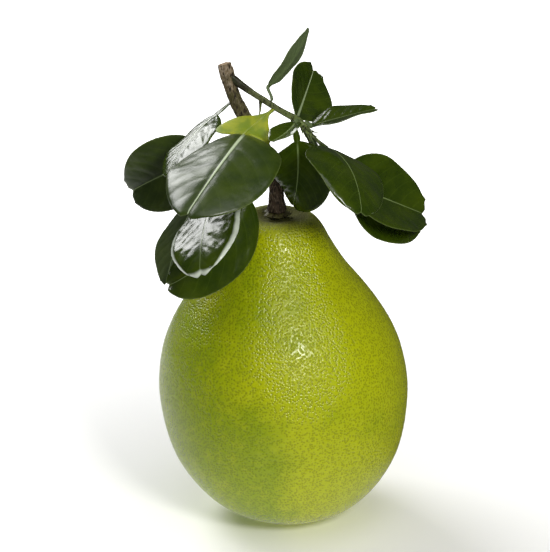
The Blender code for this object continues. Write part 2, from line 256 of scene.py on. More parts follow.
class GrowingTree:
    """A Geometry Nodes tree with named inputs for its sizes."""

    def __init__(self, name: str, sizes: Mapping[str, float | int]) -> None:
        """Make the tree and its inputs.

        Args:
            name: What the tree is called.
            sizes: The inputs' names and first values; a whole number makes a whole input.
        """
        self.tree = bpy.data.node_groups.new(name, "GeometryNodeTree")
        face = self.tree.interface
        face.new_socket("Geometry", in_out="INPUT", socket_type="NodeSocketGeometry")
        for label, value in sizes.items():
            kind = "NodeSocketInt" if isinstance(value, int) else "NodeSocketFloat"
            face.new_socket(label, in_out="INPUT", socket_type=kind).default_value = value
        face.new_socket("Geometry", in_out="OUTPUT", socket_type="NodeSocketGeometry")
        self.graph = Graph(self.tree)
        self.inputs = self.graph.add("NodeGroupInput").outputs
        self.result = self.graph.add("NodeGroupOutput").inputs[0]

    def attribute(self, name: str) -> Socket:
        """Read a decimal attribute of the geometry."""
        return self.graph.add("GeometryNodeInputNamedAttribute", {"Name": name},
                              data_type="FLOAT").outputs[0]

    def keep(self, geometry: Socket, name: str, value: Value) -> Socket:
        """Keep a value on the geometry's points under a name, and return the geometry."""
        return self.graph.add("GeometryNodeStoreNamedAttribute", {
            "Geometry": geometry, "Name": name, "Value": value,
        }, data_type="FLOAT", domain="POINT").outputs[0]

    def push_out(self, geometry: Socket, height: Value) -> Socket:
        """Move every point along its normal.

        Args:
            geometry: What is moved.
            height: How far out, in millimetres.

        Returns:
            The moved geometry.
        """
        graph = self.graph
        normal = graph.add("GeometryNodeInputNormal").outputs[0]
        offset = graph.add("ShaderNodeVectorMath", {0: normal, "Scale": graph.times(height, MM)},
                           operation="SCALE").outputs[0]
        return graph.add("GeometryNodeSetPosition", {
            "Geometry": geometry, "Offset": offset,
        }).outputs[0]

    def join(self, *parts: Socket) -> Socket:
        """Join geometries into one.

        Args:
            parts: The geometries.

        Returns:
            All of them as one.
        """
        node = self.graph.add("GeometryNodeJoinGeometry")
        for part in parts:
            self.graph.feed(node.inputs[0], part)
        return node.outputs[0]

    def scatter(self, surface: Socket, apart: float, density: Value,
                share: Value = 1.0) -> Mapping[str, Socket]:
        """Scatter points on a surface, by the tree's own Seed input.

        Args:
            surface: The surface.
            apart: How close two points may come, in millimetres.
            density: How many points there may be in a square millimetre.
            share: How much of that density each place has.

        Returns:
            The points, with their normals and rotations.
        """
        return self.graph.add("GeometryNodeDistributePointsOnFaces", {
            "Mesh": surface, "Distance Min": apart * MM,
            "Density Max": self.graph.times(density, PER_M * PER_M),
            "Density Factor": share, "Seed": self.inputs["Seed"],
        }, distribute_method="POISSON").outputs

    def varied(self, size: Value, least: float, most: float) -> Socket:
        """Vary a size at random, between two shares of it."""
        return self.graph.times(size, self.graph.add(
            "FunctionNodeRandomValue", {2: least, 3: most, "Seed": self.inputs["Seed"]},
        ).outputs[1])

    def end(self, geometry: Socket, dressed_in: bpy.types.Material) -> None:
        """Close the tree: real geometry, smooth, in one material.

        Args:
            geometry: What the tree has made.
            dressed_in: The material.
        """
        real = self.graph.add("GeometryNodeRealizeInstances", {0: geometry}).outputs[0]
        smooth = self.graph.add("GeometryNodeSetShadeSmooth", {0: real}).outputs[0]
        dressed = self.graph.add("GeometryNodeSetMaterial", {
            "Geometry": smooth, "Material": dressed_in,
        }).outputs[0]
        self.graph.feed(self.result, dressed)

    def grow(self, obj: bpy.types.Object, sizes: Mapping[str, float | int] | None = None) -> None:
        """Run the tree on an object and keep the result as its plain mesh.

        Args:
            obj: The object, which keeps its name.
            sizes: Inputs that differ from the first values.
        """
        modifier = obj.modifiers.new(self.tree.name, "NODES")
        modifier.node_group = self.tree
        for item in self.tree.interface.items_tree:
            if item.in_out == "INPUT" and item.name in (sizes or {}):
                modifier[item.identifier] = sizes[item.name]
        bpy.context.view_layer.update()
        graph = bpy.context.evaluated_depsgraph_get()
        mesh = bpy.data.meshes.new_from_object(obj.evaluated_get(graph))
        obj.modifiers.remove(modifier)
        old, obj.data = obj.data, mesh
        bpy.data.meshes.remove(old)
        mesh.name = obj.name


# Pieces --------------------------------------------------------------------------------
def keep_mesh(bm: bmesh.types.BMesh, name: str) -> bpy.types.Mesh:
    """Turn a finished bmesh into a mesh.

    Args:
        bm: The bmesh, which is freed.
        name: What the mesh is called.

    Returns:
        The mesh.
    """
    mesh = bpy.data.meshes.new(name)
    bm.to_mesh(mesh)
    bm.free()
    return mesh


def new_piece(name: str, mesh: bpy.types.Mesh) -> bpy.types.Object:
    """Put a mesh in the scene as an object at the origin.

    Args:
        name: What the object is called.
        mesh: Its mesh.

    Returns:
        The object.
    """
    obj = bpy.data.objects.new(name, mesh)
    bpy.context.scene.collection.objects.link(obj)
    return obj


def fit_piece(piece: bpy.types.Object, node: str) -> None:
    """Tell the frame where a finished piece belongs.

    Args:
        piece: The piece.
        node: The CAD node that it stands for.
    """
    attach(piece, BODY)
    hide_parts(node)
    log.info("%s: %d faces", piece.name, len(piece.data.polygons))


# Finishes ------------------------------------------------------------------------------
Coat = tuple[Socket, Socket, Socket]     # colour, roughness, and height of the relief, 0 to 1


@dataclass(frozen=True)
class Finish:
    """A finish: one Principled material with a pattern behind its colour and its relief."""

    name: str
    roughness: float = 0.5
    specular: float = 0.5
    relief: float = 0.1          # how deep the fine relief is

    def paint(self, graph: Graph, at: Socket) -> Coat:
        """Write the pattern.

        Args:
            graph: The material's tree.
            at: The place on the piece, in metres.

        Returns:
            The colour, the roughness and the height of the relief.
        """
        raise NotImplementedError

    def material(self) -> bpy.types.Material:
        """Make the material.

        Returns:
            The material.
        """
        made = bpy.data.materials.new(self.name)
        made.use_nodes = True
        graph = Graph(made.node_tree)
        shader = made.node_tree.nodes["Principled BSDF"]
        at = graph.add("ShaderNodeTexCoord").outputs["Object"]
        colour, roughness, height = self.paint(graph, at)
        bump = graph.add("ShaderNodeBump", {
            "Strength": 1.0, "Distance": self.relief * MM, "Height": height,
        })
        graph.feed(shader.inputs["Base Color"], colour)
        graph.feed(shader.inputs["Roughness"], roughness)
        graph.feed(shader.inputs["Normal"], bump.outputs[0])
        shader.inputs["Specular IOR Level"].default_value = self.specular
        return made


@dataclass(frozen=True)
class RindFinish(Finish):
    """Yellow-green rind with small dark oil glands and a slight gloss."""

    green: Colour = (0.235, 0.31, 0.0012)
    yellow: Colour = (0.38, 0.42, 0.0012)
    patch_pitch: float = 55.0
    patch_range: Span = (0.34, 0.68)     # from where the patches are green to where they're yellow
    painted_side_reach: float = 70.0
    painted_side_light: float = 0.22          # painted light: how much yellower the lit right side is, and greener the shaded left
    painted_neck_reach: Span = (90.0, 150.0)     # heights
    painted_neck_light: float = 0.14          # painted light from above: how much yellower and lighter the neck is
    pale: Colour = (0.42, 0.46, 0.01)
    mottle_pitch: float = 7.0
    mottle_range: Span = (0.45, 0.8)
    mottle_share: float = 0.35
    gland: Colour = (0.095, 0.12, 0.0003)
    gland_pitch: float = 1.45
    gland_scatter: float = 0.85          # 0 for glands in rows
    gland_range: Span = (0.66, 0.36)     # from a gland's rim to its dark middle
    gland_share: float = 0.42
    gland_gloss: float = -0.04           # what a gland adds to the roughness
    gland_reach: float = 0.75            # where the relief levels off between glands
    fray_pitch: float = 0.8
    fray: float = 0.2                    # how ragged a gland's rim is
    # The collar: the rind's own brown round the calyx, darkened further as painted shadow of the
    # leaves above, and set towards +X to shade the right shoulder too.
    collar_and_shade: Colour = (0.062, 0.062, 0.002)
    collar_and_shade_at: Point = (-5.4, 0.0, 188.7)
    collar_and_shade_reach: Span = (35.0, 18.0)    # from where it starts to where it is full
    collar_and_shade_ragged: float = 10.0
    collar_and_shade_dull: float = 0.75            # what the collar and its painted shadow add to the roughness
    scar: Colour = (0.10, 0.06, 0.03)
    scar_reach: Span = (4.5, 3.0)

    def ground(self, graph: Graph, at: Socket, patches: Socket) -> Socket:
        """Patches of green and yellow, with a pale mottle and painted light: yellower on the right
        side and the neck, greener on the left.

        Args:
            graph: The material's tree.
            at: The place on the piece, in metres.
            patches: The slow noise that parts green from yellow.

        Returns:
            The colour.
        """
        # Painted light: yellower on the lit right side and on the neck, which faces the light
        # above; greener on the shaded left.
        side = self.painted_side_reach * MM
        side_light_share = graph.rise(graph.axis(at, "X"), -side, side, -self.painted_side_light,
                          self.painted_side_light)
        neck = graph.rise(graph.axis(at, "Z"), *metres(*self.painted_neck_reach), 0.0, self.painted_neck_light)
        tone_and_painted_light = graph.rise(graph.plus(patches, graph.plus(side_light_share, neck)), *self.patch_range)
        mottle = graph.rise(graph.noise(at, self.mottle_pitch, 3.0, 0.6), *self.mottle_range,
                            0.0, self.mottle_share)
        return graph.mix(mottle, graph.mix(tone_and_painted_light, self.green, self.yellow), self.pale)

    def paint(self, graph: Graph, at: Socket) -> Coat:
        """Green and yellow patches with painted light, sunken glands, a dark collar round the calyx
        that is partly brown rind and partly painted shadow of the leaves above, and a scar
        underneath.

        Args:
            graph: The material's tree.
            at: The place on the piece, in metres.

        Returns:
            The colour, the roughness and the height of the relief.
        """
        patches = graph.noise(at, self.patch_pitch, 3.0, 0.55)
        colour = self.ground(graph, at, patches)
        near = graph.cells(at, self.gland_pitch, self.gland_scatter)
        frayed = graph.sum("MULTIPLY_ADD", graph.noise(at, self.fray_pitch, 1.0), self.fray, near)
        glands = graph.rise(frayed, *self.gland_range)
        colour = graph.mix(graph.times(glands, self.gland_share), colour, self.gland)
        # Dark ring round the calyx: the rind's brown there plus painted shadow of the leaves
        # overhead.
        from_top = graph.distance(at, metres(*self.collar_and_shade_at))
        ragged = graph.sum("MULTIPLY_ADD", patches, self.collar_and_shade_ragged * MM, from_top)
        in_collar_and_shade = graph.rise(ragged, *metres(*self.collar_and_shade_reach))
        colour = graph.mix(in_collar_and_shade, colour, self.collar_and_shade)
        in_scar = graph.rise(graph.distance(at, ORIGIN), *metres(*self.scar_reach))
        colour = graph.mix(in_scar, colour, self.scar)
        gloss = graph.sum("MULTIPLY_ADD", glands, self.gland_gloss, self.roughness)
        roughness = graph.plus(gloss, graph.times(in_collar_and_shade, self.collar_and_shade_dull))
        return colour, roughness, graph.rise(near, 0.0, self.gland_reach)


@dataclass(frozen=True)
class BarkFinish(Finish):
    """Bark that changes from its foot to its end, with cracks and pale flecks."""

    foot: Colour = (0.055, 0.035, 0.02)
    middle: Colour = (0.075, 0.065, 0.022)
    end: Colour = (0.20, 0.15, 0.09)
    crack: Colour = (0.02, 0.013, 0.007)
    fleck: Colour = (0.34, 0.28, 0.21)
    cut: Colour = (0.30, 0.21, 0.12)
    middle_at: Span = (0.25, 0.5)        # shares of the stem's length
    end_at: Span = (0.78, 0.98)
    wander: float = 0.5                  # how far those borders wander
    stretch: float = 0.3                 # how far the grain is drawn out along the stem
    streak_pitch: float = 1.6
    speck_pitch: float = 0.8
    patch_pitch: float = 5.0
    crack_range: Span = (0.5, 0.38)
    fleck_range: Span = (0.52, 0.62)
    flecks: float = 0.8
    flecks_at_foot: float = 0.25         # share of the flecks that the foot has
    patch_gloss: Pair = (-0.1, 0.08)     # what the patches add to the roughness

    def paint(self, graph: Graph, at: Socket) -> Coat:
        """Colours along the path, long cracks and flecks.

        Args:
            graph: The material's tree.
            at: The place on the piece, in metres.

        Returns:
            The colour, the roughness and the height of the relief.
        """
        grain = graph.add("ShaderNodeMapping", {
            "Vector": at, "Scale": (1.0, 1.0, self.stretch),
        }).outputs[0]
        streaks = graph.noise(grain, self.streak_pitch, *FINE_GRAIN)
        specks = graph.noise(grain, self.speck_pitch, 2.0, 0.6)
        patch = graph.noise(at, self.patch_pitch, 3.0)
        drift = graph.plus(graph.own("along"), graph.times(graph.minus(patch, 0.5), self.wander))
        colour = graph.mix(graph.rise(drift, *self.middle_at), self.foot, self.middle)
        colour = graph.mix(graph.rise(drift, *self.end_at), colour, self.end)
        colour = graph.mix(graph.rise(streaks, *self.crack_range), colour, self.crack)
        flecks = graph.times(graph.rise(specks, *self.fleck_range), self.flecks,
                             graph.rise(drift, *self.end_at, self.flecks_at_foot, 1.0))
        colour = graph.mix(flecks, colour, self.fleck)
        colour = graph.mix(graph.own("cut"), colour, self.cut)
        gloss = (self.roughness + more for more in self.patch_gloss)
        roughness = graph.rise(patch, *MOST_NOISE, *gloss)
        return colour, roughness, graph.sum("MULTIPLY_ADD", specks, 0.5, streaks)


@dataclass(frozen=True)
class CalyxFinish(Finish):
    """Dry olive calyx, browner in its folds and paler on its crests."""

    body: Colour = (0.075, 0.07, 0.02)
    fold: Colour = (0.028, 0.018, 0.008)
    crest: Colour = (0.16, 0.14, 0.05)
    blotch_pitch: float = 2.2
    fold_range: Span = (0.52, 0.36)
    crest_range: Span = (0.56, 0.72)
    blotch_gloss: float = 0.1            # how much duller a fold is, and glossier a crest

    def paint(self, graph: Graph, at: Socket) -> Coat:
        """Blotches of olive and brown.

        Args:
            graph: The material's tree.
            at: The place on the piece, in metres.

        Returns:
            The colour, the roughness and the height of the relief.
        """
        blotch = graph.noise(at, self.blotch_pitch, 4.0, 0.6)
        colour = graph.mix(graph.rise(blotch, *self.fold_range), self.body, self.fold)
        colour = graph.mix(graph.rise(blotch, *self.crest_range), colour, self.crest)
        roughness = graph.rise(blotch, *MOST_NOISE, self.roughness + self.blotch_gloss,
                               self.roughness - self.blotch_gloss)
        return colour, roughness, blotch


@dataclass(frozen=True)
class SideVeins:
    """How the side veins leave a leaf's midrib, for its relief and its colour alike."""

    pairs: int = 7
    slant: Pair = (0.55, 0.5)            # how far a vein runs ahead: at first, and further out
    stagger: float = 0.45                # how far the right side's veins are set off the left's
    crossing: float = 0.8                # how much closer slanting veins lie than along the rib

    def distance(self, graph: Graph, own: Mapping[str, Socket], pairs: Value
                 ) -> tuple[Socket, Socket]:
        """Find where a point of a blade lies between its side veins.

        Args:
            graph: The tree to write in.
            own: The leaf's own measures: along, rib, half and span.
            pairs: How many pairs of side veins there are.

        Returns:
            The distance from the nearest side vein in mm, and the share of the way across the
            gap between two veins, from 0 at one to 1 at the next.
        """
        aside = graph.sum("ABSOLUTE", own["rib"])
        first, further = self.slant
        reach = graph.sum("DIVIDE", aside, own["half"])
        slant = graph.sum("MULTIPLY_ADD", reach, further, first)
        ahead = graph.sum("DIVIDE", graph.times(aside, slant), own["span"])
        start = graph.minus(own["along"], ahead)
        right = graph.sum("GREATER_THAN", own["rib"], 0.0)
        phase = graph.sum("MULTIPLY_ADD", start, pairs, graph.times(right, self.stagger))
        share = graph.sum("FRACT", phase)
        middle = graph.sum("ABSOLUTE", graph.minus(share, 0.5))
        gap = graph.sum("DIVIDE", graph.times(own["span"], self.crossing), pairs)
        return graph.times(graph.minus(0.5, middle), gap), share


LEAF_MEASURES = (
    "along", "rib", "half", "span", "edge", "under", "yellow", "pale", "frost", "dusty",
)


@dataclass(frozen=True)
class LeafFinish(Finish):
    """Leathery green leaf: pale midrib, pale margin and yellow wing, each partly painted light;
    painted reflection on some margins; faint side veins; light underside.
    """

    deep: Colour = (0.018, 0.036, 0.0004)
    fresh: Colour = (0.036, 0.06, 0.0006)
    patch_pitch: float = 16.0
    patch_range: Span = (0.32, 0.7)
    # The wing's yellow-green: partly its own colour, partly painted glow of backlight shining
    # through it.
    wing_green: Colour = (0.16, 0.23, 0.001)
    wing_yellow_and_glow: Colour = (0.31, 0.34, 0.001)
    wing_pitch: float = 9.0
    wing_range: Span = (0.35, 0.65)
    wing_dull: float = 0.25              # what a yellow wing adds to the roughness
    veins: SideVeins = SideVeins()
    vein: Colour = (0.07, 0.11, 0.01)
    vein_width: Span = (0.55, 0.1)       # from a vein's edge to where its colour is full
    vein_share: float = 0.16
    vein_inset: Span = (1.0, 5.0)        # from the margin to where veins show
    vein_start: Span = (0.02, 0.1)       # shares of the blade's length
    midrib: Colour = (0.10, 0.15, 0.02)
    # A pale midrib: partly its own colour, partly painted sheen.
    pale_midrib_and_sheen: Colour = (0.55, 0.65, 0.42)
    midrib_width: Pair = (0.75, 0.25)    # at the joint and at the tip
    pale_widening: float = 2.0           # how many times as wide a pale midrib is
    midrib_edge: Span = (1.0, 0.35)      # from its edge to where its colour is full
    midrib_start: float = 0.12           # share of the blade that it takes to show
    midrib_share: Pair = (0.12, 0.85)    # how strong it is at the joint, and further on
    # A paler margin: partly the leaf's own edge, partly painted light on and through it.
    margin_and_edge_light: Colour = (0.11, 0.15, 0.03)
    margin_width: Span = (0.75, 0.2)
    margin_share: float = 0.6
    # Painted reflection: a whitish sheen along the margin of a glossy leaf.
    painted_rim_sheen_colour: Colour = (0.62, 0.68, 0.58)
    painted_rim_sheen_reach: Span = (4.4, 2.4)
    painted_rim_sheen_ragged: float = 2.0
    under: Colour = (0.085, 0.125, 0.04)
    under_roughness: float = 0.6
    dust_dull: float = 0.5               # what dust adds to the roughness
    gland_pitch: float = 1.1
    gland_range: Span = (0.42, 0.12)
    gland_share: float = 0.06
    gland_dip: float = 0.35
    leather_pitch: float = 1.3

    def ribs(self, graph: Graph, own: Mapping[str, Socket], blade: Socket) -> Socket:
        """Draw the side veins and the midrib on the blade.

        Args:
            graph: The material's tree.
            own: The leaf's own measures.
            blade: The blade's colour.

        Returns:
            The colour with them.
        """
        distance, _ = self.veins.distance(graph, own, float(self.veins.pairs))
        shown = graph.times(graph.rise(own["edge"], *self.vein_inset),
                            graph.rise(own["along"], *self.vein_start), self.vein_share)
        veins = graph.times(graph.rise(distance, *self.vein_width), shown)
        widening = graph.rise(own["pale"], 0.0, 1.0, 1.0, self.pale_widening)
        width = graph.times(graph.rise(own["along"], 0.0, 1.0, *self.midrib_width), widening)
        aside = graph.sum("ABSOLUTE", own["rib"])
        on_rib = graph.rise(graph.sum("DIVIDE", aside, width), *self.midrib_edge)
        start = graph.rise(own["along"], 0.0, self.midrib_start, *self.midrib_share)
        # The pale midrib is partly painted sheen.
        midrib = graph.mix(own["pale"], self.midrib, self.pale_midrib_and_sheen)
        return graph.mix(graph.times(on_rib, start), graph.mix(veins, blade, self.vein), midrib)

    def paint(self, graph: Graph, at: Socket) -> Coat:
        """Colours by the leaf's own measures.

        Args:
            graph: The material's tree.
            at: The place on the piece, in metres.

        Returns:
            The colour, the roughness and the height of the relief.
        """
        own = {name: graph.own(name) for name in LEAF_MEASURES}
        patch = graph.noise(at, self.patch_pitch, 4.0, 0.6)
        colour = graph.mix(graph.rise(patch, *self.patch_range), self.deep, self.fresh)
        # The wing: its own yellow-green and painted glow of light through it.
        wing = graph.mix(graph.rise(graph.noise(at, self.wing_pitch, 3.0), *self.wing_range),
                         self.wing_green, self.wing_yellow_and_glow)
        colour = self.ribs(graph, own, graph.mix(own["yellow"], colour, wing))
        # Paler rim: the leaf's own edge and painted light at it.
        rim = graph.times(graph.rise(own["edge"], *self.margin_width), self.margin_share)
        colour = graph.mix(rim, colour, self.margin_and_edge_light)
        # Painted reflection along the margin.
        ragged = graph.plus(own["edge"], graph.times(patch, self.painted_rim_sheen_ragged))
        frost = graph.times(graph.rise(ragged, *self.painted_rim_sheen_reach), own["frost"])
        colour = graph.mix(frost, colour, self.painted_rim_sheen_colour)
        colour = graph.mix(own["under"], colour, self.under)
        glands = graph.rise(graph.cells(at, self.gland_pitch), *self.gland_range)
        colour = graph.mix(graph.times(glands, self.gland_share), colour, self.vein)
        roughness = graph.plus(
            graph.rise(own["under"], 0.0, 1.0, self.roughness, self.under_roughness),
            graph.times(own["yellow"], self.wing_dull), graph.times(own["dusty"], self.dust_dull))
        leather = graph.noise(at, self.leather_pitch, 3.0, 0.6)
        return colour, roughness, graph.minus(leather, graph.times(glands, self.gland_dip))


# Fruit ---------------------------------------------------------------------------------
@dataclass
class Fruit:
    """The pear-shaped fruit, with its rind as fine relief."""

    outline: tuple[Pair, ...] = (
        (9.0, 188.4), (15.5, 190.4), (22.5, 188.4), (28.0, 182.0), (33.0, 172.0),
        (41.5, 157.5), (54.5, 140.0), (65.5, 121.5), (72.3, 102.0), (74.6, 77.0),
        (69.0, 45.0), (55.0, 20.5), (37.0, 5.5), (17.0, 0.0),
    )                                # (radius, height), from the calyx to the flat spot
    dimple_height: float = 187.6     # middle of the hollow that the calyx sits in
    lean: float = -0.039
    neck: Span = (120.0, 182.0)      # heights between which the furrows set in
    furrows: int = 5
    furrow_depth: float = 0.9
    furrow_drift: float = 0.8        # how unevenly they lie round the neck
    belly_swell: float = 0.7
    swell_turn: float = 0.6          # where the belly is widest
    outline_steps: int = 400         # points that the outline's length is measured by
    cuts: int = 125                  # faces along each side of the block that it is blown from
    pebble_pitch: float = 2.7
    pebble_depth: float = 0.12
    pebble_reach: float = 0.7        # where a pebble ends, as a share of the pitch
    swell_pitch: float = 22.0
    swell_depth: float = 0.35
    foot: Span = (0.3, 6.0)          # heights between which the relief sets in, above the flat spot
    finish: RindFinish = field(default_factory=lambda: RindFinish(
        "rind", roughness=0.24, specular=0.45, relief=0.3))

    def outline_point(self, row: float) -> tuple[float, ...]:
        """Radius and height of the outline, for row from 0 at the rim to 1 at the flat spot."""
        return spline_point(self.outline, row * (len(self.outline) - 1))

    def surface_point(self, row: float, turn: float) -> Point:
        """Find a point of the rind.

        Args:
            row: How far down the outline, from 0 at the rim to 1 at the flat spot.
            turn: How far round, in radians.

        Returns:
            The point, in millimetres.
        """
        radius, height = self.outline_point(row)
        in_neck = smooth_step(*self.neck, height)
        furrow = 0.5 + 0.5 * math.cos(self.furrows * turn + self.furrow_drift * math.sin(turn))
        belly = math.sin(math.pi * smooth_step(0.0, self.outline[0][1], height))
        radius -= self.furrow_depth * in_neck * furrow**2
        radius += self.belly_swell * belly * math.sin(2.0 * turn + self.swell_turn)
        return radius * math.cos(turn) + self.lean * height, radius * math.sin(turn), height

    def meridian(self) -> tuple[np.ndarray, np.ndarray]:
        """Measure the outline, for even faces.

        Returns:
            Rows down the side, and how far each is from the middle of the top.
        """
        rows = np.linspace(0.0, 1.0, self.outline_steps)
        places = np.array([self.outline_point(row) for row in rows])
        steps = np.linalg.norm(np.diff(places, axis=0), axis=1)
        return rows, np.concatenate(([0.0], np.cumsum(steps))) + self.outline[0][0]

    def place(self, polar: float, turn: float, rows: np.ndarray, down: np.ndarray) -> Point:
        """Find the point of the rind that a direction out of its middle stands for.

        Args:
            polar: Angle from the calyx, from 0 there to pi underneath.
            turn: How far round, in radians.
            rows: Rows down the side.
            down: How far each row is from the middle of the top.

        Returns:
            The point, in millimetres.
        """
        length = down[-1] + self.outline[-1][0]
        reached = polar / math.pi * length
        if reached < down[0]:
            share = reached / down[0]
            rim = self.surface_point(0.0, turn)
            middle = (self.lean * self.dimple_height, 0.0, self.dimple_height)
            return tuple(m + (r - m) * share for m, r in zip(middle, rim))
        if reached > down[-1]:
            share = (length - reached) / self.outline[-1][0]
            rim = self.surface_point(1.0, turn)
            return rim[0] * share, rim[1] * share, 0.0
        return self.surface_point(float(np.interp(reached, down, rows)), turn)

    def blown_block(self) -> bpy.types.Mesh:
        """Blow a finely cut block up to the fruit's form.

        Returns:
            The fruit's mesh, still without relief.
        """
        bm = bmesh.new()
        bmesh.ops.create_cube(bm, size=2.0)
        bmesh.ops.subdivide_edges(bm, edges=bm.edges, cuts=self.cuts, use_grid_fill=True)
        rows, down = self.meridian()
        for vert in bm.verts:
            even = Vector(math.tan(axis * math.pi / 4) for axis in vert.co).normalized()
            polar = math.acos(max(-1.0, min(1.0, even.z)))
            turn = math.atan2(even.y, even.x)
            vert.co = Vector(self.place(polar, turn, rows, down)) * MM
        return keep_mesh(bm, "rind")

    def rind_tree(self) -> GrowingTree:
        """Write the tree that raises slow swells and pebbles on the rind.

        Returns:
            The tree.
        """
        tree = GrowingTree("pebbled rind", {
            "Pebble Pitch": self.pebble_pitch, "Pebble Depth": self.pebble_depth,
            "Swell Depth": self.swell_depth,
        })
        graph, inputs = tree.graph, tree.inputs
        at = graph.add("GeometryNodeInputPosition").outputs[0]
        near = graph.add("ShaderNodeTexVoronoi", {
            "Vector": at, "Scale": graph.sum("DIVIDE", PER_M, inputs["Pebble Pitch"]),
            "Smoothness": 0.5,
        }, feature="SMOOTH_F1").outputs["Distance"]
        pebble = graph.times(graph.rise(near, self.pebble_reach, 0.0, -0.5, 0.5),
                             inputs["Pebble Depth"])
        swell = graph.times(graph.minus(graph.noise(at, self.swell_pitch), 0.5),
                            inputs["Swell Depth"])
        above_foot = graph.rise(graph.axis(at, "Z"), *metres(*self.foot))
        height = graph.times(graph.plus(pebble, swell), above_foot)
        tree.end(tree.push_out(inputs["Geometry"], height), self.finish.material())
        return tree

    def build(self) -> None:
        """Build the fruit."""
        fruit = new_piece("pebbled_fruit", self.blown_block())
        self.rind_tree().grow(fruit)
        fit_piece(fruit, "fruit")


# Stalk, shoot and spine ----------------------------------------------------------------
STALK_PATH: tuple[PathPoint, ...] = (
    (-7.4, 0.0, 193.3, 6.0), (-7.4, 0.0, 197.0, 5.2), (-7.6, 0.8, 203.0, 4.5),
    (-8.0, 2.2, 210.5, 4.2), (-10.8, 4.5, 221.0, 4.1), (-16.5, 7.0, 232.5, 4.1),
    (-23.3, 8.5, 243.0, 4.0), (-29.2, 9.5, 253.0, 4.1), (-33.6, 11.0, 263.0, 3.9),
    (-36.8, 12.5, 274.0, 4.4), (-38.0, 13.0, 278.5, 3.9),
)
SHOOT_PATH: tuple[PathPoint, ...] = (
    (-35.0, 12.0, 271.5, 2.6), (-27.6, 9.0, 266.8, 2.2), (-20.9, 5.0, 263.2, 1.8),
    (-15.0, 1.5, 260.4, 1.8), (-8.8, -2.0, 257.4, 1.8), (-2.6, -6.0, 254.8, 1.8),
    (3.7, -10.5, 252.7, 2.1), (7.7, -13.5, 249.8, 2.1), (10.2, -15.5, 247.2, 1.6),
    (13.5, -17.5, 245.0, 0.9), (17.0, -19.0, 242.0, 0.3),
)
SPINE_PATH: tuple[PathPoint, ...] = (
    (-16.6, 2.4, 259.6, 1.2), (-16.8, 2.0, 257.8, 0.9), (-17.0, 1.3, 254.4, 0.6),
    (-17.6, 0.3, 250.4, 0.2),
)


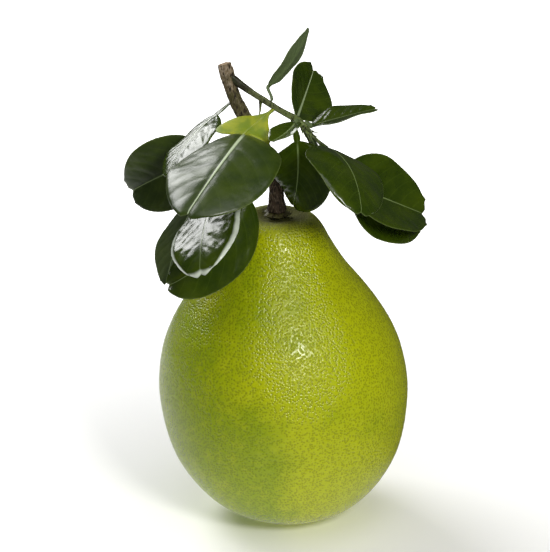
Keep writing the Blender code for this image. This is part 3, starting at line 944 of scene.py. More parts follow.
@dataclass
class BarkTube:
    """A stem: a tube along a path, with bark ridges, lenticels and, at its tip, bracts."""

    name: str
    node: str
    slot: str
    path: tuple[PathPoint, ...]
    finish: BarkFinish
    steps: int = 14                  # rings for each stretch of the path
    sides: int = 40
    foot_rounding: tuple[Pair, ...] = ((0.1, 0.9), (0.15, 0.02))
    end_rounding: tuple[Pair, ...] = ((0.35, 0.95), (0.5, 0.8), (0.56, 0.02))
    cut_inside: float = 0.9          # share of the end's radius inside which its cut face lies
    ridges: float = 5.0              # long ridges round the stem
    ridge_depth: float = 0.18
    crack_pitch: float = 2.2
    crack_range: Span = (0.36, 0.6)
    crack_levels: Pair = (-1.0, 0.3)     # its bed and the bark between, in crack depths
    crack_depth: float = 0.5
    warts: float = 0.035             # how many in a square millimetre
    wart_gap: float = 1.1
    wart_size: float = 0.35
    wart_sizes: Span = (0.5, 1.2)    # shares of that size that they have
    wart_form: Pair = (0.6, 0.45)    # width and height, as shares of the length
    bracts: float = 0.0              # how many in a square millimetre of the tip's lower side
    bract_gap: float = 1.6
    bract_length: float = 5.0
    bract_lengths: Span = (0.55, 1.1)    # shares of that length that they have
    bract_width: float = 1.5
    bract_flat: float = 0.5          # thickness, as a share of the width
    bract_point: float = 0.04        # width at the point
    bract_from: float = 0.8          # share of the path where they begin
    bract_faces: Span = (0.9, 0.4)   # the bark's slant from where they are missing to where full
    bract_hang: Point = (1.3, -0.5, -0.9)    # which way they are drawn off the bark's normal
    seed: int = 3

    def rounded(self, end: PathPoint, before: PathPoint, rounding: tuple[Pair, ...]
                ) -> list[tuple[Vector, float]]:
        """Round an end of the tube off.

        Args:
            end: The path's end.
            before: The point before it.
            rounding: How far out each ring lies, and its share of the end's radius.

        Returns:
            The places and radii that follow the end.
        """
        out = (Vector(end[:3]) - Vector(before[:3])).normalized()
        return [(Vector(end[:3]) + out * far, end[3] * share) for far, share in rounding]

    def line_mesh(self) -> bpy.types.Mesh:
        """Draw the centre line as edges.

        Returns:
            The line, which carries the radii and where the cut face is.
        """
        count = self.steps * (len(self.path) - 1)
        whole = [spline_point(self.path, i / self.steps) for i in range(count + 1)]
        foot = self.rounded(whole[0], whole[1], self.foot_rounding)
        end = self.rounded(whole[-1], whole[-2], self.end_rounding)
        rings = foot[::-1] + [(Vector(p[:3]), p[3]) for p in whole] + end
        cut = [float(share < self.cut_inside) for _, share in self.end_rounding]
        mesh = bpy.data.meshes.new(self.name)
        mesh.from_pydata([place * MM for place, _ in rings],
                         [(i, i + 1) for i in range(len(rings) - 1)], [])
        for label, values in (
            ("stem_radius", [radius * MM for _, radius in rings]),
            ("cut", [0.0] * (len(rings) - len(cut)) + cut),
        ):
            mesh.attributes.new(label, "FLOAT", "POINT").data.foreach_set("value", values)
        return mesh

    def ridged_tube(self, tree: GrowingTree) -> Socket:
        """Lay a tube along the line, with ridges and cracks.

        Args:
            tree: The tree to write in.

        Returns:
            The tube, which carries the share of the path.
        """
        graph, inputs = tree.graph, tree.inputs
        factor = graph.add("GeometryNodeSplineParameter").outputs["Factor"]
        line = graph.add("GeometryNodeMeshToCurve", {0: inputs["Geometry"]}).outputs[0]
        ring = graph.add("GeometryNodeCurvePrimitiveCircle", {
            "Resolution": self.sides, "Radius": 1.0,
        }).outputs[0]
        tube = graph.add("GeometryNodeCurveToMesh", {
            "Curve": tree.keep(line, "along", factor),
            "Profile Curve": tree.keep(ring, "round", factor),
            "Scale": tree.attribute("stem_radius"), "Fill Caps": True,
        }).outputs[0]
        turn = graph.times(tree.attribute("round"), math.tau)
        ridge = graph.times(graph.sum("SINE", graph.times(turn, self.ridges)),
                            inputs["Ridge Depth"])
        grain = graph.add("ShaderNodeVectorMath", {
            0: graph.add("GeometryNodeInputPosition").outputs[0],
            1: (1.0, 1.0, self.finish.stretch),
        }, operation="MULTIPLY").outputs[0]
        crack = graph.rise(graph.noise(grain, self.crack_pitch, *FINE_GRAIN),
                           *self.crack_range, *self.crack_levels)
        height = graph.plus(ridge, graph.times(crack, inputs["Crack Depth"]))
        beside_cut = graph.minus(1.0, tree.attribute("cut"))
        return tree.push_out(tube, graph.times(height, beside_cut))

    def lenticels(self, tree: GrowingTree, bark: Socket) -> Socket:
        """Scatter small warts on the bark.

        Args:
            tree: The tree to write in.
            bark: The stem's surface.

        Returns:
            The warts.
        """
        graph, inputs = tree.graph, tree.inputs
        spots = tree.scatter(bark, self.wart_gap, inputs["Warts"])
        wart = graph.add("GeometryNodeMeshIcoSphere", {"Radius": MM, "Subdivisions": 2}).outputs[0]
        size = tree.varied(inputs["Wart Size"], *self.wart_sizes)
        wide, high = self.wart_form
        flat = graph.add("ShaderNodeCombineXYZ", {
            "X": size, "Y": graph.times(size, wide), "Z": graph.times(size, high),
        }).outputs[0]
        return graph.add("GeometryNodeInstanceOnPoints", {
            "Points": spots["Points"], "Instance": wart, "Rotation": spots["Rotation"],
            "Scale": flat,
        }).outputs[0]

    def hanging_bracts(self, tree: GrowingTree, bark: Socket) -> Socket:
        """Scatter thin pointed bracts under the stem's end.

        Args:
            tree: The tree to write in.
            bark: The stem's surface, which carries the share of the path.

        Returns:
            The bracts.
        """
        graph, inputs = tree.graph, tree.inputs
        normal = graph.add("GeometryNodeInputNormal").outputs[0]
        faces_down = graph.rise(graph.axis(normal, "Z"), *self.bract_faces)
        near_end = graph.sum("GREATER_THAN", tree.attribute("along"), inputs["Bract From"])
        spots = tree.scatter(bark, self.bract_gap, inputs["Bracts"],
                             graph.times(faces_down, near_end))
        blade = graph.add("GeometryNodeMeshCone", {
            "Vertices": 8, "Side Segments": 4, "Radius Top": self.bract_point / 2 * MM,
            "Radius Bottom": self.bract_width / 2 * MM, "Depth": MM,
        }).outputs[0]
        hanging = graph.add("ShaderNodeVectorMath", {
            0: spots["Normal"], 1: self.bract_hang,
        }, operation="ADD").outputs[0]
        turned = graph.add("FunctionNodeAlignRotationToVector", {"Vector": hanging},
                           axis="Z").outputs[0]
        size = graph.add("ShaderNodeCombineXYZ", {
            "X": 1.0, "Y": self.bract_flat,
            "Z": tree.varied(inputs["Bract Length"], *self.bract_lengths),
        }).outputs[0]
        return graph.add("GeometryNodeInstanceOnPoints", {
            "Points": spots["Points"], "Instance": blade, "Rotation": turned, "Scale": size,
        }).outputs[0]

    def bark_tree(self) -> GrowingTree:
        """Write the tree that lays a ridged tube on the line and scatters what grows on it.

        Returns:
            The tree.
        """
        tree = GrowingTree("bark on " + self.name, {
            "Ridge Depth": self.ridge_depth, "Crack Depth": self.crack_depth,
            "Wart Size": self.wart_size, "Warts": self.warts, "Seed": self.seed,
            "Bracts": self.bracts, "Bract Length": self.bract_length,
            "Bract From": self.bract_from,
        })
        bark = self.ridged_tube(tree)
        tree.end(tree.join(bark, self.lenticels(tree, bark), self.hanging_bracts(tree, bark)),
                 self.finish.material())
        return tree

    def build(self) -> None:
        """Build the stem."""
        stem = new_piece(self.name, self.line_mesh())
        self.bark_tree().grow(stem)
        fit_piece(stem, self.node)


# Calyx ---------------------------------------------------------------------------------
@dataclass
class Calyx:
    """The five-lobed button between the fruit and the stalk."""

    centre: Point = (-7.4, 0.0, 188.7)
    radius: float = 8.6
    height: float = 4.2
    lobes: int = 5
    lobe_turn: float = 0.4           # radians
    lobe_depth: float = 0.24
    lobe_lift: float = 0.35          # how far the lobes' tips curl up
    crumples: tuple[tuple[float, float, float], ...] = (
        (3.0, 0.05, 1.0), (17.0, 0.02, 0.0),
    )                                # (waves round the rim, their depth, their turn)
    creases: Pair = (23.0, 0.12)     # (waves round the rim, their height)
    fullness: float = 0.6            # less than 1 for a flatter top
    undercut: float = 0.14           # how much narrower the underside is
    rings: int = 40
    sides: int = 160
    finish: CalyxFinish = field(default_factory=lambda: CalyxFinish(
        "calyx", roughness=0.62, specular=0.3, relief=0.3))

    def surface_point(self, ring: float, turn: float) -> Point:
        """Find a point of the calyx.

        Args:
            ring: How high up, from -1 under its middle to 1 on top.
            turn: How far round, in radians.

        Returns:
            The point, in millimetres.
        """
        out = (1.0 - abs(ring)) ** self.fullness
        wave = math.cos(self.lobes * turn + self.lobe_turn)
        reach = self.radius * out * (1.0 - self.lobe_depth * (0.5 - 0.5 * wave))
        reach *= 1.0 + sum(depth * math.sin(waves * turn + start)
                           for waves, depth, start in self.crumples)
        if ring < 0:
            reach *= 1.0 + self.undercut * ring
        waves, lift = self.creases
        fold = self.lobe_lift * wave * out**2 + lift * math.sin(waves * turn) * out
        level = 0.5 + 0.5 * math.sin(ring * math.pi / 2)
        x, y, z = self.centre
        return (x + reach * math.cos(turn), y + reach * math.sin(turn),
                z + (self.height + fold) * level)

    def build(self) -> None:
        """Build the calyx."""
        bm = bmesh.new()
        bmesh.ops.create_uvsphere(bm, u_segments=self.sides, v_segments=self.rings, radius=1.0)
        for vert in bm.verts:
            turn = math.atan2(vert.co.y, vert.co.x)
            ring = math.asin(max(-1.0, min(1.0, vert.co.z))) / (math.pi / 2)
            vert.co = Vector(self.surface_point(ring, turn)) * MM
        bmesh.ops.recalc_face_normals(bm, faces=bm.faces)
        mesh = keep_mesh(bm, "lobed_calyx")
        mesh.shade_smooth()
        mesh.materials.append(self.finish.material())
        fit_piece(new_piece("lobed_calyx", mesh), "calyx")


# Leaves --------------------------------------------------------------------------------
NEARBY = 0.01    # share of a length between two points that give a direction


class Stem(Enum):
    """What a leaf grows from."""

    STALK = "stalk"
    SHOOT = "shoot"

    @property
    def path(self) -> tuple[PathPoint, ...]:
        """The path of that stem."""
        return STALK_PATH if self is Stem.STALK else SHOOT_PATH


@dataclass
class Leaf:
    """One leaf: a winged petiole and a blade that meet at a joint."""

    name: str
    stem: Stem
    at: float                        # place on the stem's path
    joint: Point
    tip: Point
    width: float
    facing: Point                    # roughly where the upper face looks
    wing_width: float = 6.0
    arch: float = 0.1
    fold: float = 0.16
    cup: float = 0.0                 # how far the margins curl up
    sweep: float = 0.0               # how far the midrib bends sideways
    twist: float = 0.0               # degrees that the tip turns about the midrib
    wing_facing: Point | None = None
    widest: float = 0.47             # share of the blade's length
    base: float = 0.66               # 1 for a blade that starts as a wedge, less for a round one
    yellow: float = 0.0              # how yellow the petiole's wing is, partly its own colour, partly painted glow of light through it
    pale: float = 0.15               # how pale and broad the midrib is, partly as painted sheen
    frost: float = 0.0               # how strong the painted reflection along the margin is
    dusty: float = 0.0               # how dull the upper face is
    roll: float = 0.7                # how far the margin turns down
    roll_width: float = 3.0
    ripple: float = 0.35

    petiole_half: float = 1.25
    root_clearance: float = 0.6
    least_slant: float = 0.5         # sine of the flattest angle that a petiole leaves its stem at
    sunk: float = 2.2                # how far the petiole's foot reaches into the bark
    bend: float = 0.4                # how far it runs on before it turns, as a share of its length
    wing_start: float = 0.08         # shares of the petiole's length between which its wing widens
    wing_shoulder: float = 0.8
    blade_reach: float = 0.968       # less than 1 for a blade with a blunt tip
    roundness: float = 0.54          # 0.5 for an ellipse, more for a pointed blade
    base_reach: float = 0.17         # how far before the widest place the base's form ends
    teeth: int = 22
    crenation: float = 0.005
    tooth_middle: float = 0.6        # level between a tooth and the gap beside it
    tooth_start: Span = (0.1, 0.3)   # shares of the blade's length
    tip_notch: float = 0.035
    notch_width: float = 0.34        # share of the blade's width

    def __post_init__(self) -> None:
        """Work out the vectors that every row uses."""
        self.joint_v, self.tip_v = Vector(self.joint), Vector(self.tip)
        self.facing_v = Vector(self.facing).normalized()
        self.wing_facing_v = Vector(self.wing_facing or self.facing).normalized()
        self.skew = math.log(0.5) / math.log(self.widest)
        self.length = (self.tip_v - self.joint_v).length
        self.foot, self.out = self.root()

    def root(self) -> tuple[Vector, Vector]:
        """Find where the petiole leaves its stem.

        Returns:
            The petiole's foot, just clear of the bark, and the way out of it.
        """
        *centre, radius = spline_point(self.stem.path, self.at)
        ahead = Vector(spline_point(self.stem.path, self.at + 10 * NEARBY)[:3]) - Vector(centre)
        out = (self.joint_v - Vector(centre)).normalized()
        slant = max(self.least_slant, out.cross(ahead.normalized()).length)
        turned = math.sqrt(1.0 - min(1.0, slant**2))
        reach = radius + self.root_clearance + self.petiole_half * turned
        return Vector(centre) + out * (reach / slant), out

    def wing_half(self, share: float) -> float:
        """Measure half the petiole's width.

        Args:
            share: How far along, from its foot at 0 to the joint at 1.

        Returns:
            The half width, in millimetres.
        """
        past = max(0.0, share - self.wing_shoulder) / (1.0 - self.wing_shoulder)
        grown = smooth_step(self.wing_start, self.wing_shoulder, share)
        closing = math.sqrt(max(0.0, 1.0 - past**2))
        return self.petiole_half + (self.wing_width / 2 - self.petiole_half) * grown * closing

    def blade_half(self, share: float) -> float:
        """Measure half the blade's width.

        Args:
            share: How far along, from the joint at 0 to the tip at 1.

        Returns:
            The half width, in millimetres.
        """
        along = self.blade_reach * share**self.skew
        past_base = smooth_step(0.0, self.widest - self.base_reach, share)
        power = self.base + (self.roundness - self.base) * past_base
        body = (4.0 * along * (1.0 - along)) ** power
        scallop = abs(math.sin(math.pi * self.teeth * share)) - self.tooth_middle
        tooth = self.crenation * scallop * smooth_step(*self.tooth_start, share)
        return max(self.petiole_half, self.width / 2 * body * (1.0 + tooth))

    def blade_centre(self, share: float) -> Vector:
        """Find a point of the blade's midrib, which bows from the joint to the tip.

        Args:
            share: How far along, from the joint at 0 to the tip at 1.

        Returns:
            The point.
        """
        chord = self.tip_v - self.joint_v
        up = (self.facing_v - self.facing_v.project(chord)).normalized()
        aside = chord.normalized().cross(up)
        bow = 4.0 * share * (1.0 - share) * self.length
        return self.joint_v + chord * share + (up * self.arch + aside * self.sweep) * bow

    def wing_centre(self, share: float) -> Vector:
        """Find a point of the petiole's midrib, which leaves the bark and turns to the blade.

        Args:
            share: How far along, from its foot at 0 to the joint at 1, and less in the bark.

        Returns:
            The point.
        """
        if share < 0:
            return self.foot + self.out * (share * self.sunk)
        away = (self.blade_centre(4 * NEARBY) - self.joint_v).normalized()
        reach = self.bend * (self.joint_v - self.foot).length
        left = 1.0 - share
        return (self.foot * left**3 + (self.foot + self.out * reach) * (3 * left**2 * share)
                + (self.joint_v - away * reach) * (3 * left * share**2)
                + self.joint_v * share**3)


@dataclass
class Row:
    """One row of points across a leaf."""

    centre: Vector
    ahead: Vector
    half: float
    facing: Vector
    share: float
    is_blade: bool


@dataclass
class Foliage:
    """All the leaves, with the veins and relief that they share."""

    thickness: float = 0.72
    rim: float = 0.8                 # how far from the margin the blade starts to thin
    rib_height: float = 0.22         # how far the midrib stands out above
    rib_reach: float = 0.9           # and how far it spreads
    rib_depth: float = 0.9           # the same below
    rib_reach_below: float = 2.2
    rib_ends: Pair = (0.35, 0.15)    # what is left of it at the tip, above and below
    channel: float = 0.3             # depth of the channel that the midrib lies in
    channel_reach: Span = (4.5, 0.4)     # from its brim to its bed
    channel_from: Span = (3.0, 9.0)  # half widths between which it sets in
    quilt: float = 0.14              # how far the blade swells between side veins
    vein_depth: float = 0.1
    vein_width: float = 1.1
    vein_inset: Span = (0.5, 6.0)    # from the margin to where the veins are full
    vein_outset: Span = (0.5, 4.0)   # from the midrib to where they are
    ripple_pitch: float = 11.0
    ripple_gain: float = 4.0         # brings the noise to about the ripple's size
    ripple_reach: Span = (1.0, 8.0)  # from the midrib to where the ripple is full
    roll_from: Span = (2.0, 8.0)     # half widths between which the rolled margin sets in
    margin_wave: float = 0.05        # slow waves of the margin, as a share of the half width
    margin_waves: float = 9.0        # radians of them along the blade
    tip_round: float = 0.045
    tip_from: Span = (0.8, 1.0)      # shares of the blade's length
    wing_lobe: float = 0.45          # how far the wing's shoulders reach ahead
    wing_lobe_from: Span = (0.5, 0.9)    # shares of the petiole's length
    wing_end: float = 0.985          # where its last row lies
    wing_fade: float = 0.05          # share of the blade into which the wing's colour runs
    wing_rib: float = 0.1            # what is left on the wing of a pale midrib
    turn_up: float = 0.12            # share of the blade in which it turns to its own facing
    wing_rows: int = 22
    blade_rows: int = 100
    crowding: float = 1.1            # above 1 for rows that lie closer at the joint
    across: tuple[float, ...] = (
        0.0, 0.018, 0.04, 0.068, 0.105, 0.15, 0.2, 0.255, 0.31, 0.365, 0.42, 0.475, 0.53,
        0.585, 0.64, 0.69, 0.74, 0.785, 0.825, 0.86, 0.89, 0.915, 0.94, 0.96, 0.978, 0.991,
        1.0,
    )                                # shares of the half width, closer at the rib and margin
    finish: LeafFinish = field(default_factory=lambda: LeafFinish(
        "leaf", roughness=0.2, specular=0.5, relief=0.05))

    leaves: tuple[Leaf, ...] = (
        Leaf("leaf_front", Stem.SHOOT, 4.1, (-25.5, -22.5, 248.0), (-56.0, -96.5, 226.0),
             width=63.5, facing=(-0.12, -0.25, 0.96), wing_width=35.0, arch=0.08,
             fold=-0.03, cup=-0.18, sweep=-0.045, wing_facing=(-0.05, -0.4, 0.9),
             yellow=1.0, pale=1.0, dusty=0.26, roll=0.9, ripple=0.25),
        Leaf("leaf_upper_left", Stem.STALK, 7.6, (-43.0, 11.0, 249.0), (-70.0, -21.5, 223.5),
             width=40.0, facing=(-0.63, -0.13, 0.77), wing_width=5.0, arch=0.05,
             fold=-0.03, cup=-0.11, sweep=0.03),
        Leaf("leaf_far_left", Stem.STALK, 5.9, (-45.5, 19.0, 220.5), (-94.0, 30.5, 194.5),
             width=42.5, facing=(-0.19, -0.95, 0.24), arch=0.11, fold=0.23, cup=0.15,
             sweep=0.02, dusty=0.4),
        Leaf("leaf_low_bright", Stem.STALK, 4.6, (-41.0, -39.0, 216.5), (-50.0, -90.0, 188.0),
             width=48.5, facing=(-0.55, -0.26, 0.79), arch=0.08, fold=0.0, cup=-0.05,
             frost=0.9, roll=1.4, roll_width=4.5, ripple=0.6),
        Leaf("leaf_low_green", Stem.STALK, 3.6, (-25.5, -23.0, 210.5), (-67.5, -60.0, 169.0),
             width=43.0, facing=(0.42, -0.9, 0.03), wing_width=7.0, arch=0.0, fold=0.11,
             sweep=-0.12),
        Leaf("leaf_low_back", Stem.STALK, 4.9, (-53.0, 12.5, 197.5), (-71.5, -29.0, 159.5),
             width=38.5, facing=(-0.73, -0.21, 0.65), arch=0.07, fold=0.12, sweep=-0.03,
             dusty=1.6),
        Leaf("leaf_centre", Stem.SHOOT, 5.6, (4.5, -12.5, 240.0), (2.0, -13.0, 200.5),
             width=41.0, facing=(-0.4, -0.69, 0.6), wing_width=4.5, arch=0.1, fold=-0.05,
             cup=-0.09, sweep=-0.11, twist=12.0),
        Leaf("leaf_right_front", Stem.SHOOT, 7.6, (21.0, -15.5, 238.0), (41.0, -67.5, 216.5),
             width=51.0, facing=(0.51, -0.19, 0.84), wing_width=4.5, arch=0.13,
             fold=-0.07, cup=-0.07),
        Leaf("leaf_right", Stem.SHOOT, 7.2, (30.0, -7.5, 214.5), (80.0, 25.0, 182.5),
             width=47.0, facing=(0.78, -0.39, 0.5), arch=0.01, fold=0.18, cup=0.15,
             sweep=0.01),
        Leaf("leaf_right_low", Stem.SHOOT, 6.3, (35.5, -1.5, 202.0), (78.0, 24.0, 177.0),
             width=41.0, facing=(0.65, -0.51, 0.57), arch=-0.01, fold=0.05, sweep=0.02),
        Leaf("leaf_edge_on", Stem.SHOOT, 6.5, (13.0, -9.5, 248.5), (49.5, 0.5, 255.5),
             width=27.0, facing=(-0.19, -0.02, 0.98), wing_width=3.5, arch=0.02,
             fold=0.19, cup=0.04, sweep=0.02),
        Leaf("leaf_upright", Stem.SHOOT, 6.0, (4.0, -3.5, 249.5), (14.5, 44.0, 265.5),
             width=34.0, facing=(0.6, -0.56, 0.57), wing_width=3.5, arch=-0.05,
             fold=0.17, cup=0.16, sweep=0.03, twist=-15.0, widest=0.6, base=1.0,
             pale=0.5),
        Leaf("leaf_narrow", Stem.SHOOT, 3.8, (-12.0, 4.5, 268.5), (10.5, 19.0, 297.0),
             width=23.0, facing=(-0.8, 0.46, 0.39), wing_width=3.5, arch=-0.08,
             fold=0.09, sweep=0.05),
        Leaf("leaf_folded", Stem.SHOOT, 6.4, (4.0, -20.0, 254.0), (-9.5, -40.0, 249.0),
             width=17.0, facing=(-0.3, -0.26, 0.92), wing_width=3.0, arch=-0.02,
             fold=0.36, sweep=-0.04, base=0.9),
    )

    def rows(self, leaf: Leaf) -> list[Row]:
        """Lay rows from the petiole's sunk foot to the blade's tip.

        Args:
            leaf: The leaf.

        Returns:
            The rows.
        """
        rows = []
        for share in (-1.0, -0.5, *np.linspace(0.0, self.wing_end, self.wing_rows)):
            ahead = leaf.wing_centre(share + NEARBY) - leaf.wing_centre(share)
            half = leaf.wing_half(max(0.0, share))
            rows.append(Row(leaf.wing_centre(share), ahead.normalized(), half,
                            leaf.wing_facing_v, share, False))
        for i in range(self.blade_rows):
            share = (i / (self.blade_rows - 1)) ** self.crowding
            after, before = share + 2 * NEARBY, share - 2 * NEARBY
            ahead = leaf.blade_centre(after) - leaf.blade_centre(before)
            turned = smooth_step(0.0, self.turn_up, share)
            facing = leaf.wing_facing_v.lerp(leaf.facing_v, turned)
            rows.append(Row(leaf.blade_centre(share), ahead.normalized(),
                            leaf.blade_half(share), facing, share, True))
        return rows

    def row_points(self, leaf: Leaf, row: Row) -> tuple[np.ndarray, dict[str, np.ndarray]]:
        """Points of one row, and what the finish and the relief need to know of each.

        Args:
            leaf: The leaf.
            row: One of its rows.

        Returns:
            The points in millimetres, and the named values.
        """
        across = np.array([-a for a in reversed(self.across[1:])] + list(self.across))
        up = (row.facing - row.facing.project(row.ahead)).normalized()
        aside = row.ahead.cross(up)
        size = np.abs(across)
        lift = leaf.fold * size * row.half
        if row.is_blade:
            turn = math.radians(leaf.twist) * row.share
            up, aside = (up * math.cos(turn) - aside * math.sin(turn),
                         aside * math.cos(turn) + up * math.sin(turn))
            lift += leaf.cup * across**2 * row.half
            lift += (self.margin_wave * row.half * size
                     * np.sin(self.margin_waves * row.share + 2.0 * across))
            notch = leaf.tip_notch * np.maximum(0.0, 1.0 - size / leaf.notch_width)
            ahead = leaf.length * smooth_step(*self.tip_from, row.share)
            ahead = ahead * (self.tip_round * (1 - across**2) - notch)
            to_end = (1.0 - row.share) * leaf.length
            along, wing = row.share, 0.0
            fading = 1.0 - smooth_step(0.0, self.wing_fade, row.share)
        else:
            shoulder = smooth_step(*self.wing_lobe_from, row.share)
            ahead = self.wing_lobe * row.half * across**2 * shoulder
            to_end = (row.share + 1.0) * leaf.sunk
            along, wing, fading = 0.0, 1.0, 1.0
        points = (np.array(row.centre)[None] + np.outer(across * row.half, np.array(aside))
                  + np.outer(lift, np.array(up)) + np.outer(ahead, np.array(row.ahead)))
        whole = np.ones_like(across)
        # The wing's yellow and the midrib's paleness are partly painted light; the pale rim along
        # the margin is painted reflection.
        return points, {
            "along": whole * along, "rib": across * row.half, "half": whole * row.half,
            "span": whole * leaf.length, "edge": np.minimum((1.0 - size) * row.half, to_end),
            "wing": whole * wing, "yellow": whole * leaf.yellow * fading,
            "pale": whole * leaf.pale * (1.0 - (1.0 - self.wing_rib) * fading),
            "dusty": whole * leaf.dusty, "frost": whole * leaf.frost * (1.0 - wing),
        }

    def sheet(self, leaf: Leaf) -> bpy.types.Mesh:
        """Lay out the leaf's upper face as a sheet that carries its own measures.

        Args:
            leaf: The leaf.

        Returns:
            The sheet.
        """
        made = [self.row_points(leaf, row) for row in self.rows(leaf)]
        points = np.concatenate([points for points, _ in made]) * MM
        columns = len(made[0][0])
        faces = [
            (start, start + 1, start + columns + 1, start + columns)
            for r in range(len(made) - 1)
            for start in range(r * columns, (r + 1) * columns - 1)
        ]
        mesh = bpy.data.meshes.new(leaf.name)
        mesh.from_pydata(points.tolist(), [], faces)
        for name in made[0][1]:
            kept = mesh.attributes.new(name, "FLOAT", "POINT")
            kept.data.foreach_set("value", np.concatenate([own[name] for _, own in made]))
        middle = mesh.polygons[len(mesh.polygons) // 2 + columns // 4]
        if middle.normal.dot(leaf.facing_v) < 0:
            mesh.flip_normals()
        return mesh

    def upper_height(self, tree: GrowingTree, own: Mapping[str, Socket]) -> Socket:
        """Shape the upper face: veins, quilting, midrib, channel, ripple and rolled margin.

        Args:
            tree: The tree to write in.
            own: The leaf's own measures.

        Returns:
            The height over the sheet, in millimetres.
        """
        graph, inputs = tree.graph, tree.inputs
        aside = graph.sum("ABSOLUTE", own["rib"])
        distance, share = self.finish.veins.distance(graph, own, inputs["Vein Pairs"])
        swell = graph.sum("SINE", graph.times(share, math.pi))
        quilt = graph.times(swell, inputs["Quilt"])
        groove = graph.times(graph.rise(distance, self.vein_width, 0.0), inputs["Vein Depth"])
        inside = graph.times(graph.rise(own["edge"], *self.vein_inset),
                             graph.rise(aside, *self.vein_outset), graph.minus(1.0, own["wing"]))
        veins = graph.times(graph.minus(quilt, groove), inside)
        rib = graph.times(graph.rise(aside, self.rib_reach, 0.0),
                          graph.rise(own["along"], 0.0, 1.0, 1.0, self.rib_ends[0]),
                          inputs["Rib Height"])
        channel = graph.times(graph.rise(aside, *self.channel_reach), inputs["Channel"],
                              graph.rise(own["half"], *self.channel_from))
        at = graph.add("GeometryNodeInputPosition").outputs[0]
        ripple = graph.times(graph.minus(graph.noise(at, self.ripple_pitch), 0.5),
                             inputs["Ripple"], self.ripple_gain,
                             graph.rise(aside, *self.ripple_reach))
        turned = graph.sum("SUBTRACT", 1.0, graph.sum("DIVIDE", own["edge"], inputs["Roll Width"]),
                           clamp=True)
        turned = graph.times(graph.sum("POWER", turned, 2.0), inputs["Roll"],
                             graph.rise(own["half"], *self.roll_from))
        raised = graph.minus(graph.plus(veins, rib), channel)
        return graph.minus(graph.plus(raised, ripple), turned)

    def depth(self, tree: GrowingTree, own: Mapping[str, Socket]) -> Socket:
        """Shape the underside: the blade's thickness, its thin rim and the midrib below.

        Args:
            tree: The tree to write in.
            own: The leaf's own measures.

        Returns:
            The depth under the upper face, in millimetres.
        """
        graph, inputs = tree.graph, tree.inputs
        rib = graph.times(
            graph.rise(graph.sum("ABSOLUTE", own["rib"]), self.rib_reach_below, 0.0),
            inputs["Rib Depth"], graph.rise(own["along"], 0.0, 1.0, 1.0, self.rib_ends[1]))
        thin = graph.sum("SUBTRACT", 1.0, graph.sum("DIVIDE", own["edge"], inputs["Rim"]),
                         clamp=True)
        round_off = graph.sum("SQRT", graph.minus(1.0, graph.sum("POWER", thin, 2.0)))
        return graph.times(graph.plus(rib, inputs["Thickness"]), round_off)

    def leaf_tree(self) -> GrowingTree:
        """Write the tree that gives a sheet its relief, its rolled margin and its thickness.

        Returns:
            The tree.
        """
        tree = GrowingTree("veined leaf", {
            "Thickness": self.thickness, "Rim": self.rim, "Rib Depth": self.rib_depth,
            "Rib Height": self.rib_height, "Channel": self.channel, "Quilt": self.quilt,
            "Vein Depth": self.vein_depth, "Vein Pairs": self.finish.veins.pairs,
            "Roll": Leaf.roll, "Roll Width": Leaf.roll_width, "Ripple": Leaf.ripple,
        })
        graph = tree.graph
        own = {n: tree.attribute(n) for n in ("along", "rib", "half", "span", "edge", "wing")}
        upper = tree.push_out(tree.inputs["Geometry"], self.upper_height(tree, own))
        lower = tree.push_out(upper, graph.times(self.depth(tree, own), -1.0))
        lower = graph.add("GeometryNodeFlipFaces", {0: lower}).outputs[0]
        both = tree.join(tree.keep(upper, "under", 0.0), tree.keep(lower, "under", 1.0))
        closed = graph.add("GeometryNodeMergeByDistance", {
            "Geometry": both, "Distance": 0.001 * MM,
        }).outputs[0]
        tree.end(closed, self.finish.material())
        return tree

    def build(self) -> None:
        """Build every leaf."""
        tree = self.leaf_tree()
        for leaf in self.leaves:
            piece = new_piece(leaf.name.replace("leaf", "veined_leaf"), self.sheet(leaf))
            tree.grow(piece, {"Roll": leaf.roll, "Roll Width": leaf.roll_width,
                              "Ripple": leaf.ripple})
            fit_piece(piece, leaf.name)


# Studio --------------------------------------------------------------------------------
@dataclass(frozen=True)
class SoftBox:
    """A soft light, by where it stands round the fruit."""

    name: str
    azimuth: float                   # degrees from the front towards the right
    elevation: float
    distance: float                  # metres
    width: float                     # metres
    height: float                    # metres
    radiance: float
    colour: Colour = WHITE

    def build(self, aim: Vector) -> None:
        """Hang the light.

        Args:
            aim: The point that it lights.
        """
        light = bpy.data.lights.new(self.name, "AREA")
        light.shape = "RECTANGLE"
        light.size, light.size_y = self.width, self.height
        light.energy = self.radiance * self.width * self.height * math.pi
        light.color = self.colour
        obj = bpy.data.objects.new(self.name, light)
        away = direction(self.azimuth, self.elevation)
        obj.location = aim + away * self.distance
        obj.rotation_euler = away.to_track_quat("Z", "Y").to_euler()
        bpy.context.scene.collection.objects.link(obj)


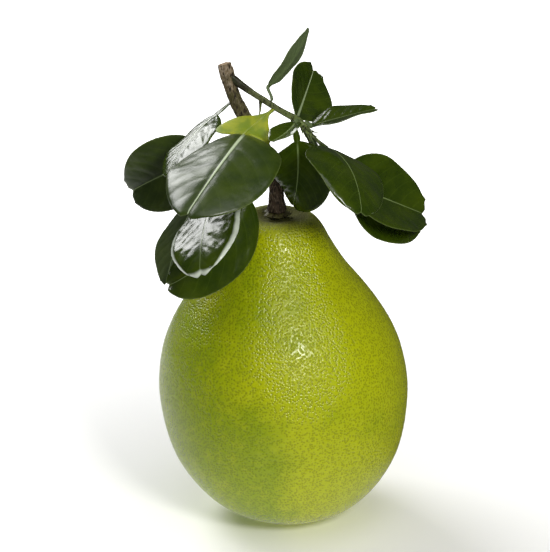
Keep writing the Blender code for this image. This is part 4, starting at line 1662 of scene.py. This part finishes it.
@dataclass
class Studio:
    """Floor, sky, lights and camera."""

    sky: float = 0.06
    backdrop: float = 0.96           # what the camera sees past the floor
    floor_size: float = 12.0         # metres
    floor_gap: float = 0.2           # how far below the part the floor lies
    floor_colour: Colour = (0.93, 0.93, 0.925)
    patch_pitch: float = 400.0       # of the floor's faint patches
    patch_tone: float = 0.97
    floor_roughness: float = 0.7
    floor_specular: float = 0.2
    glow: float = 0.5                # light that the floor at the fruit's foot adds from below
    glow_at: Point = (0.0, -0.06, 0.0)   # metres
    glow_reach: Span = (0.08, 0.16)
    lift: Pair = (0.06, 0.95)        # how much paler the floor looks: at the foot, and far off
    lift_reach: Span = (0.06, 0.9)
    dark_floor: Colour = (0.05, 0.05, 0.05)
    pool_at: Point = (-0.26, 0.2, 0.0)   # metres; the floor that shows in the fruit's gloss
    pool_reach: Span = (0.2, 0.34)
    boxes: tuple[SoftBox, ...] = (
        SoftBox("key", 25.0, 32.0, 1.6, 0.4, 0.4, 32.0, (1.0, 0.985, 0.95)),
        SoftBox("back left", 222.0, 37.0, 1.5, 0.97, 0.72, 9.0),
        SoftBox("low back left", 209.0, 13.0, 1.5, 0.34, 0.32, 4.5),
        SoftBox("top", 10.0, 70.0, 1.8, 1.4, 1.4, 1.7),
    )
    aim: float = 0.5                 # the lights' aim, as a share of the part's height
    view_height: float = 0.4         # the camera's level, the same way
    view_passes: int = 3             # times that the camera is turned to the part's middle
    view_elevation: float = 22.0
    view_distance: float = 1.6       # metres
    view_clip: float = 50.0          # metres
    sensor: float = 36.0
    fills: float = 0.9               # share of the frame's height

    def world(self) -> None:
        """A dim even sky that looks pale to the camera."""
        world = bpy.data.worlds.new("studio")
        bpy.context.scene.world = world
        world.use_nodes = True
        graph = Graph(world.node_tree)
        shader = world.node_tree.nodes["Background"]
        seen = graph.add("ShaderNodeLightPath").outputs["Is Camera Ray"]
        sky, backdrop = (self.sky,) * 3, (self.backdrop,) * 3
        graph.feed(shader.inputs["Color"], graph.mix(seen, sky, backdrop))

    def paper(self) -> bpy.types.Material:
        """Make the floor's material: pale paper that throws a little light on the fruit's foot.

        Returns:
            The material.
        """
        made = bpy.data.materials.new("floor")
        made.use_nodes = True
        graph = Graph(made.node_tree)
        shader = made.node_tree.nodes["Principled BSDF"]
        at = graph.add("ShaderNodeTexCoord").outputs["Object"]
        path = graph.add("ShaderNodeLightPath").outputs
        darker = tuple(self.patch_tone * c for c in self.floor_colour)
        colour = graph.mix(graph.noise(at, self.patch_pitch), darker, self.floor_colour)
        outside = graph.rise(graph.distance(at, self.pool_at), *self.pool_reach)
        colour = graph.mix(graph.times(outside, path["Is Glossy Ray"]), colour, self.dark_floor)
        from_foot = graph.distance(at, self.glow_at)
        glow = graph.times(graph.rise(from_foot, *self.glow_reach, self.glow, 0.0),
                           graph.minus(1.0, path["Is Camera Ray"]))
        lift = graph.times(graph.rise(from_foot, *self.lift_reach, *self.lift),
                           path["Is Camera Ray"])
        graph.feed(shader.inputs["Base Color"], colour)
        graph.feed(shader.inputs["Emission Color"], (*WHITE, 1.0))
        graph.feed(shader.inputs["Emission Strength"], graph.plus(glow, lift))
        graph.feed(shader.inputs["Roughness"], self.floor_roughness)
        graph.feed(shader.inputs["Specular IOR Level"], self.floor_specular)
        return made

    def floor(self) -> None:
        """A plain pale floor."""
        bm = bmesh.new()
        bmesh.ops.create_grid(bm, x_segments=2, y_segments=2, size=self.floor_size / 2)
        mesh = keep_mesh(bm, "floor")
        mesh.materials.append(self.paper())
        floor = new_piece("floor", mesh)
        floor.location.z = -self.floor_gap * MM
        floor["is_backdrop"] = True

    def camera(self, nodes: Mapping[str, bpy.types.Object], high: float) -> None:
        """Set the camera so that the part fills the frame.

        Args:
            nodes: The CAD nodes, whose points are framed.
            high: The part's height in metres.
        """
        away = direction(0.0, self.view_elevation)
        stand = Vector((0.0, 0.0, self.view_height * high)) + away * self.view_distance
        points = [stand - v.co for obj in nodes.values() for v in obj.data.vertices]
        for _ in range(self.view_passes):
            turn = away.to_track_quat("Z", "Y").inverted()
            seen = [turn @ p for p in points]
            flat = np.array([(p.x / p.z, p.y / p.z) for p in seen])
            low, top = flat.min(axis=0), flat.max(axis=0)
            middle = (low + top) / 2
            away = turn.inverted() @ Vector((middle[0], middle[1], 1.0)).normalized()
        data = bpy.data.cameras.new("camera")
        data.sensor_width = self.sensor
        data.lens = self.sensor / ((top - low)[1] / self.fills)
        data.clip_end = self.view_clip
        camera = bpy.data.objects.new("camera", data)
        camera.location = stand
        camera.rotation_euler = away.to_track_quat("Z", "Y").to_euler()
        bpy.context.scene.collection.objects.link(camera)
        bpy.context.scene.camera = camera

    def build(self, nodes: Mapping[str, bpy.types.Object], high: float) -> None:
        """Build the studio round the part.

        Args:
            nodes: The CAD nodes.
            high: The part's height in metres.
        """
        self.world()
        self.floor()
        for box in self.boxes:
            box.build(Vector((0.0, 0.0, self.aim * high)))
        self.camera(nodes, high)
        bpy.context.scene.view_settings.view_transform = "Standard"


# Stems of the fruit --------------------------------------------------------------------
STALK = BarkTube(
    "barked_stalk", "stalk", "bark", STALK_PATH,
    BarkFinish("bark", roughness=0.75, specular=0.25, relief=0.8),
)
SIDE_SHOOT = BarkTube(
    "green_shoot", "side_shoot", "green_bark", SHOOT_PATH,
    BarkFinish(
        "shoot bark", roughness=0.5, specular=0.4, relief=0.12, foot=(0.022, 0.018, 0.01),
        # The shoot's middle and end colours are lightened partly as painted highlight.
        middle=(0.1, 0.115, 0.04), end=(0.125, 0.17, 0.045), middle_at=(0.12, 0.3),
        end_at=(0.5, 0.7), fleck=(0.16, 0.18, 0.07), crack=(0.02, 0.025, 0.006),
        cut=(0.09, 0.13, 0.03), flecks=0.4,
    ),
    sides=28, ridge_depth=0.16, crack_depth=0.1, wart_size=0.2, warts=0.03,
    bracts=0.4, bract_length=6.5, seed=5,
)
SPINE = BarkTube(
    "green_spine", "spine", "green_bark", SPINE_PATH,
    BarkFinish(
        "spine bark", roughness=0.45, specular=0.4, relief=0.05, foot=(0.08, 0.11, 0.02),
        middle=(0.12, 0.14, 0.03), end=(0.25, 0.22, 0.07), fleck=(0.2, 0.2, 0.09),
        cut=(0.3, 0.24, 0.1), flecks=0.3,
    ),
    sides=16, ridge_depth=0.03, crack_depth=0.02, wart_size=0.1, warts=0.01, seed=7,
)


def main() -> None:
    """Build the pomelo's looks and the studio."""
    logging.basicConfig(level=logging.INFO, format="%(name)s: %(message)s")
    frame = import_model()
    cad_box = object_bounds()
    Studio().build(frame["nodes"], cad_box[1][2])
    Fruit().build()
    Calyx().build()
    for stem in (STALK, SIDE_SHOOT, SPINE):
        stem.build()
    Foliage().build()


if __name__ == "__main__":
    main()
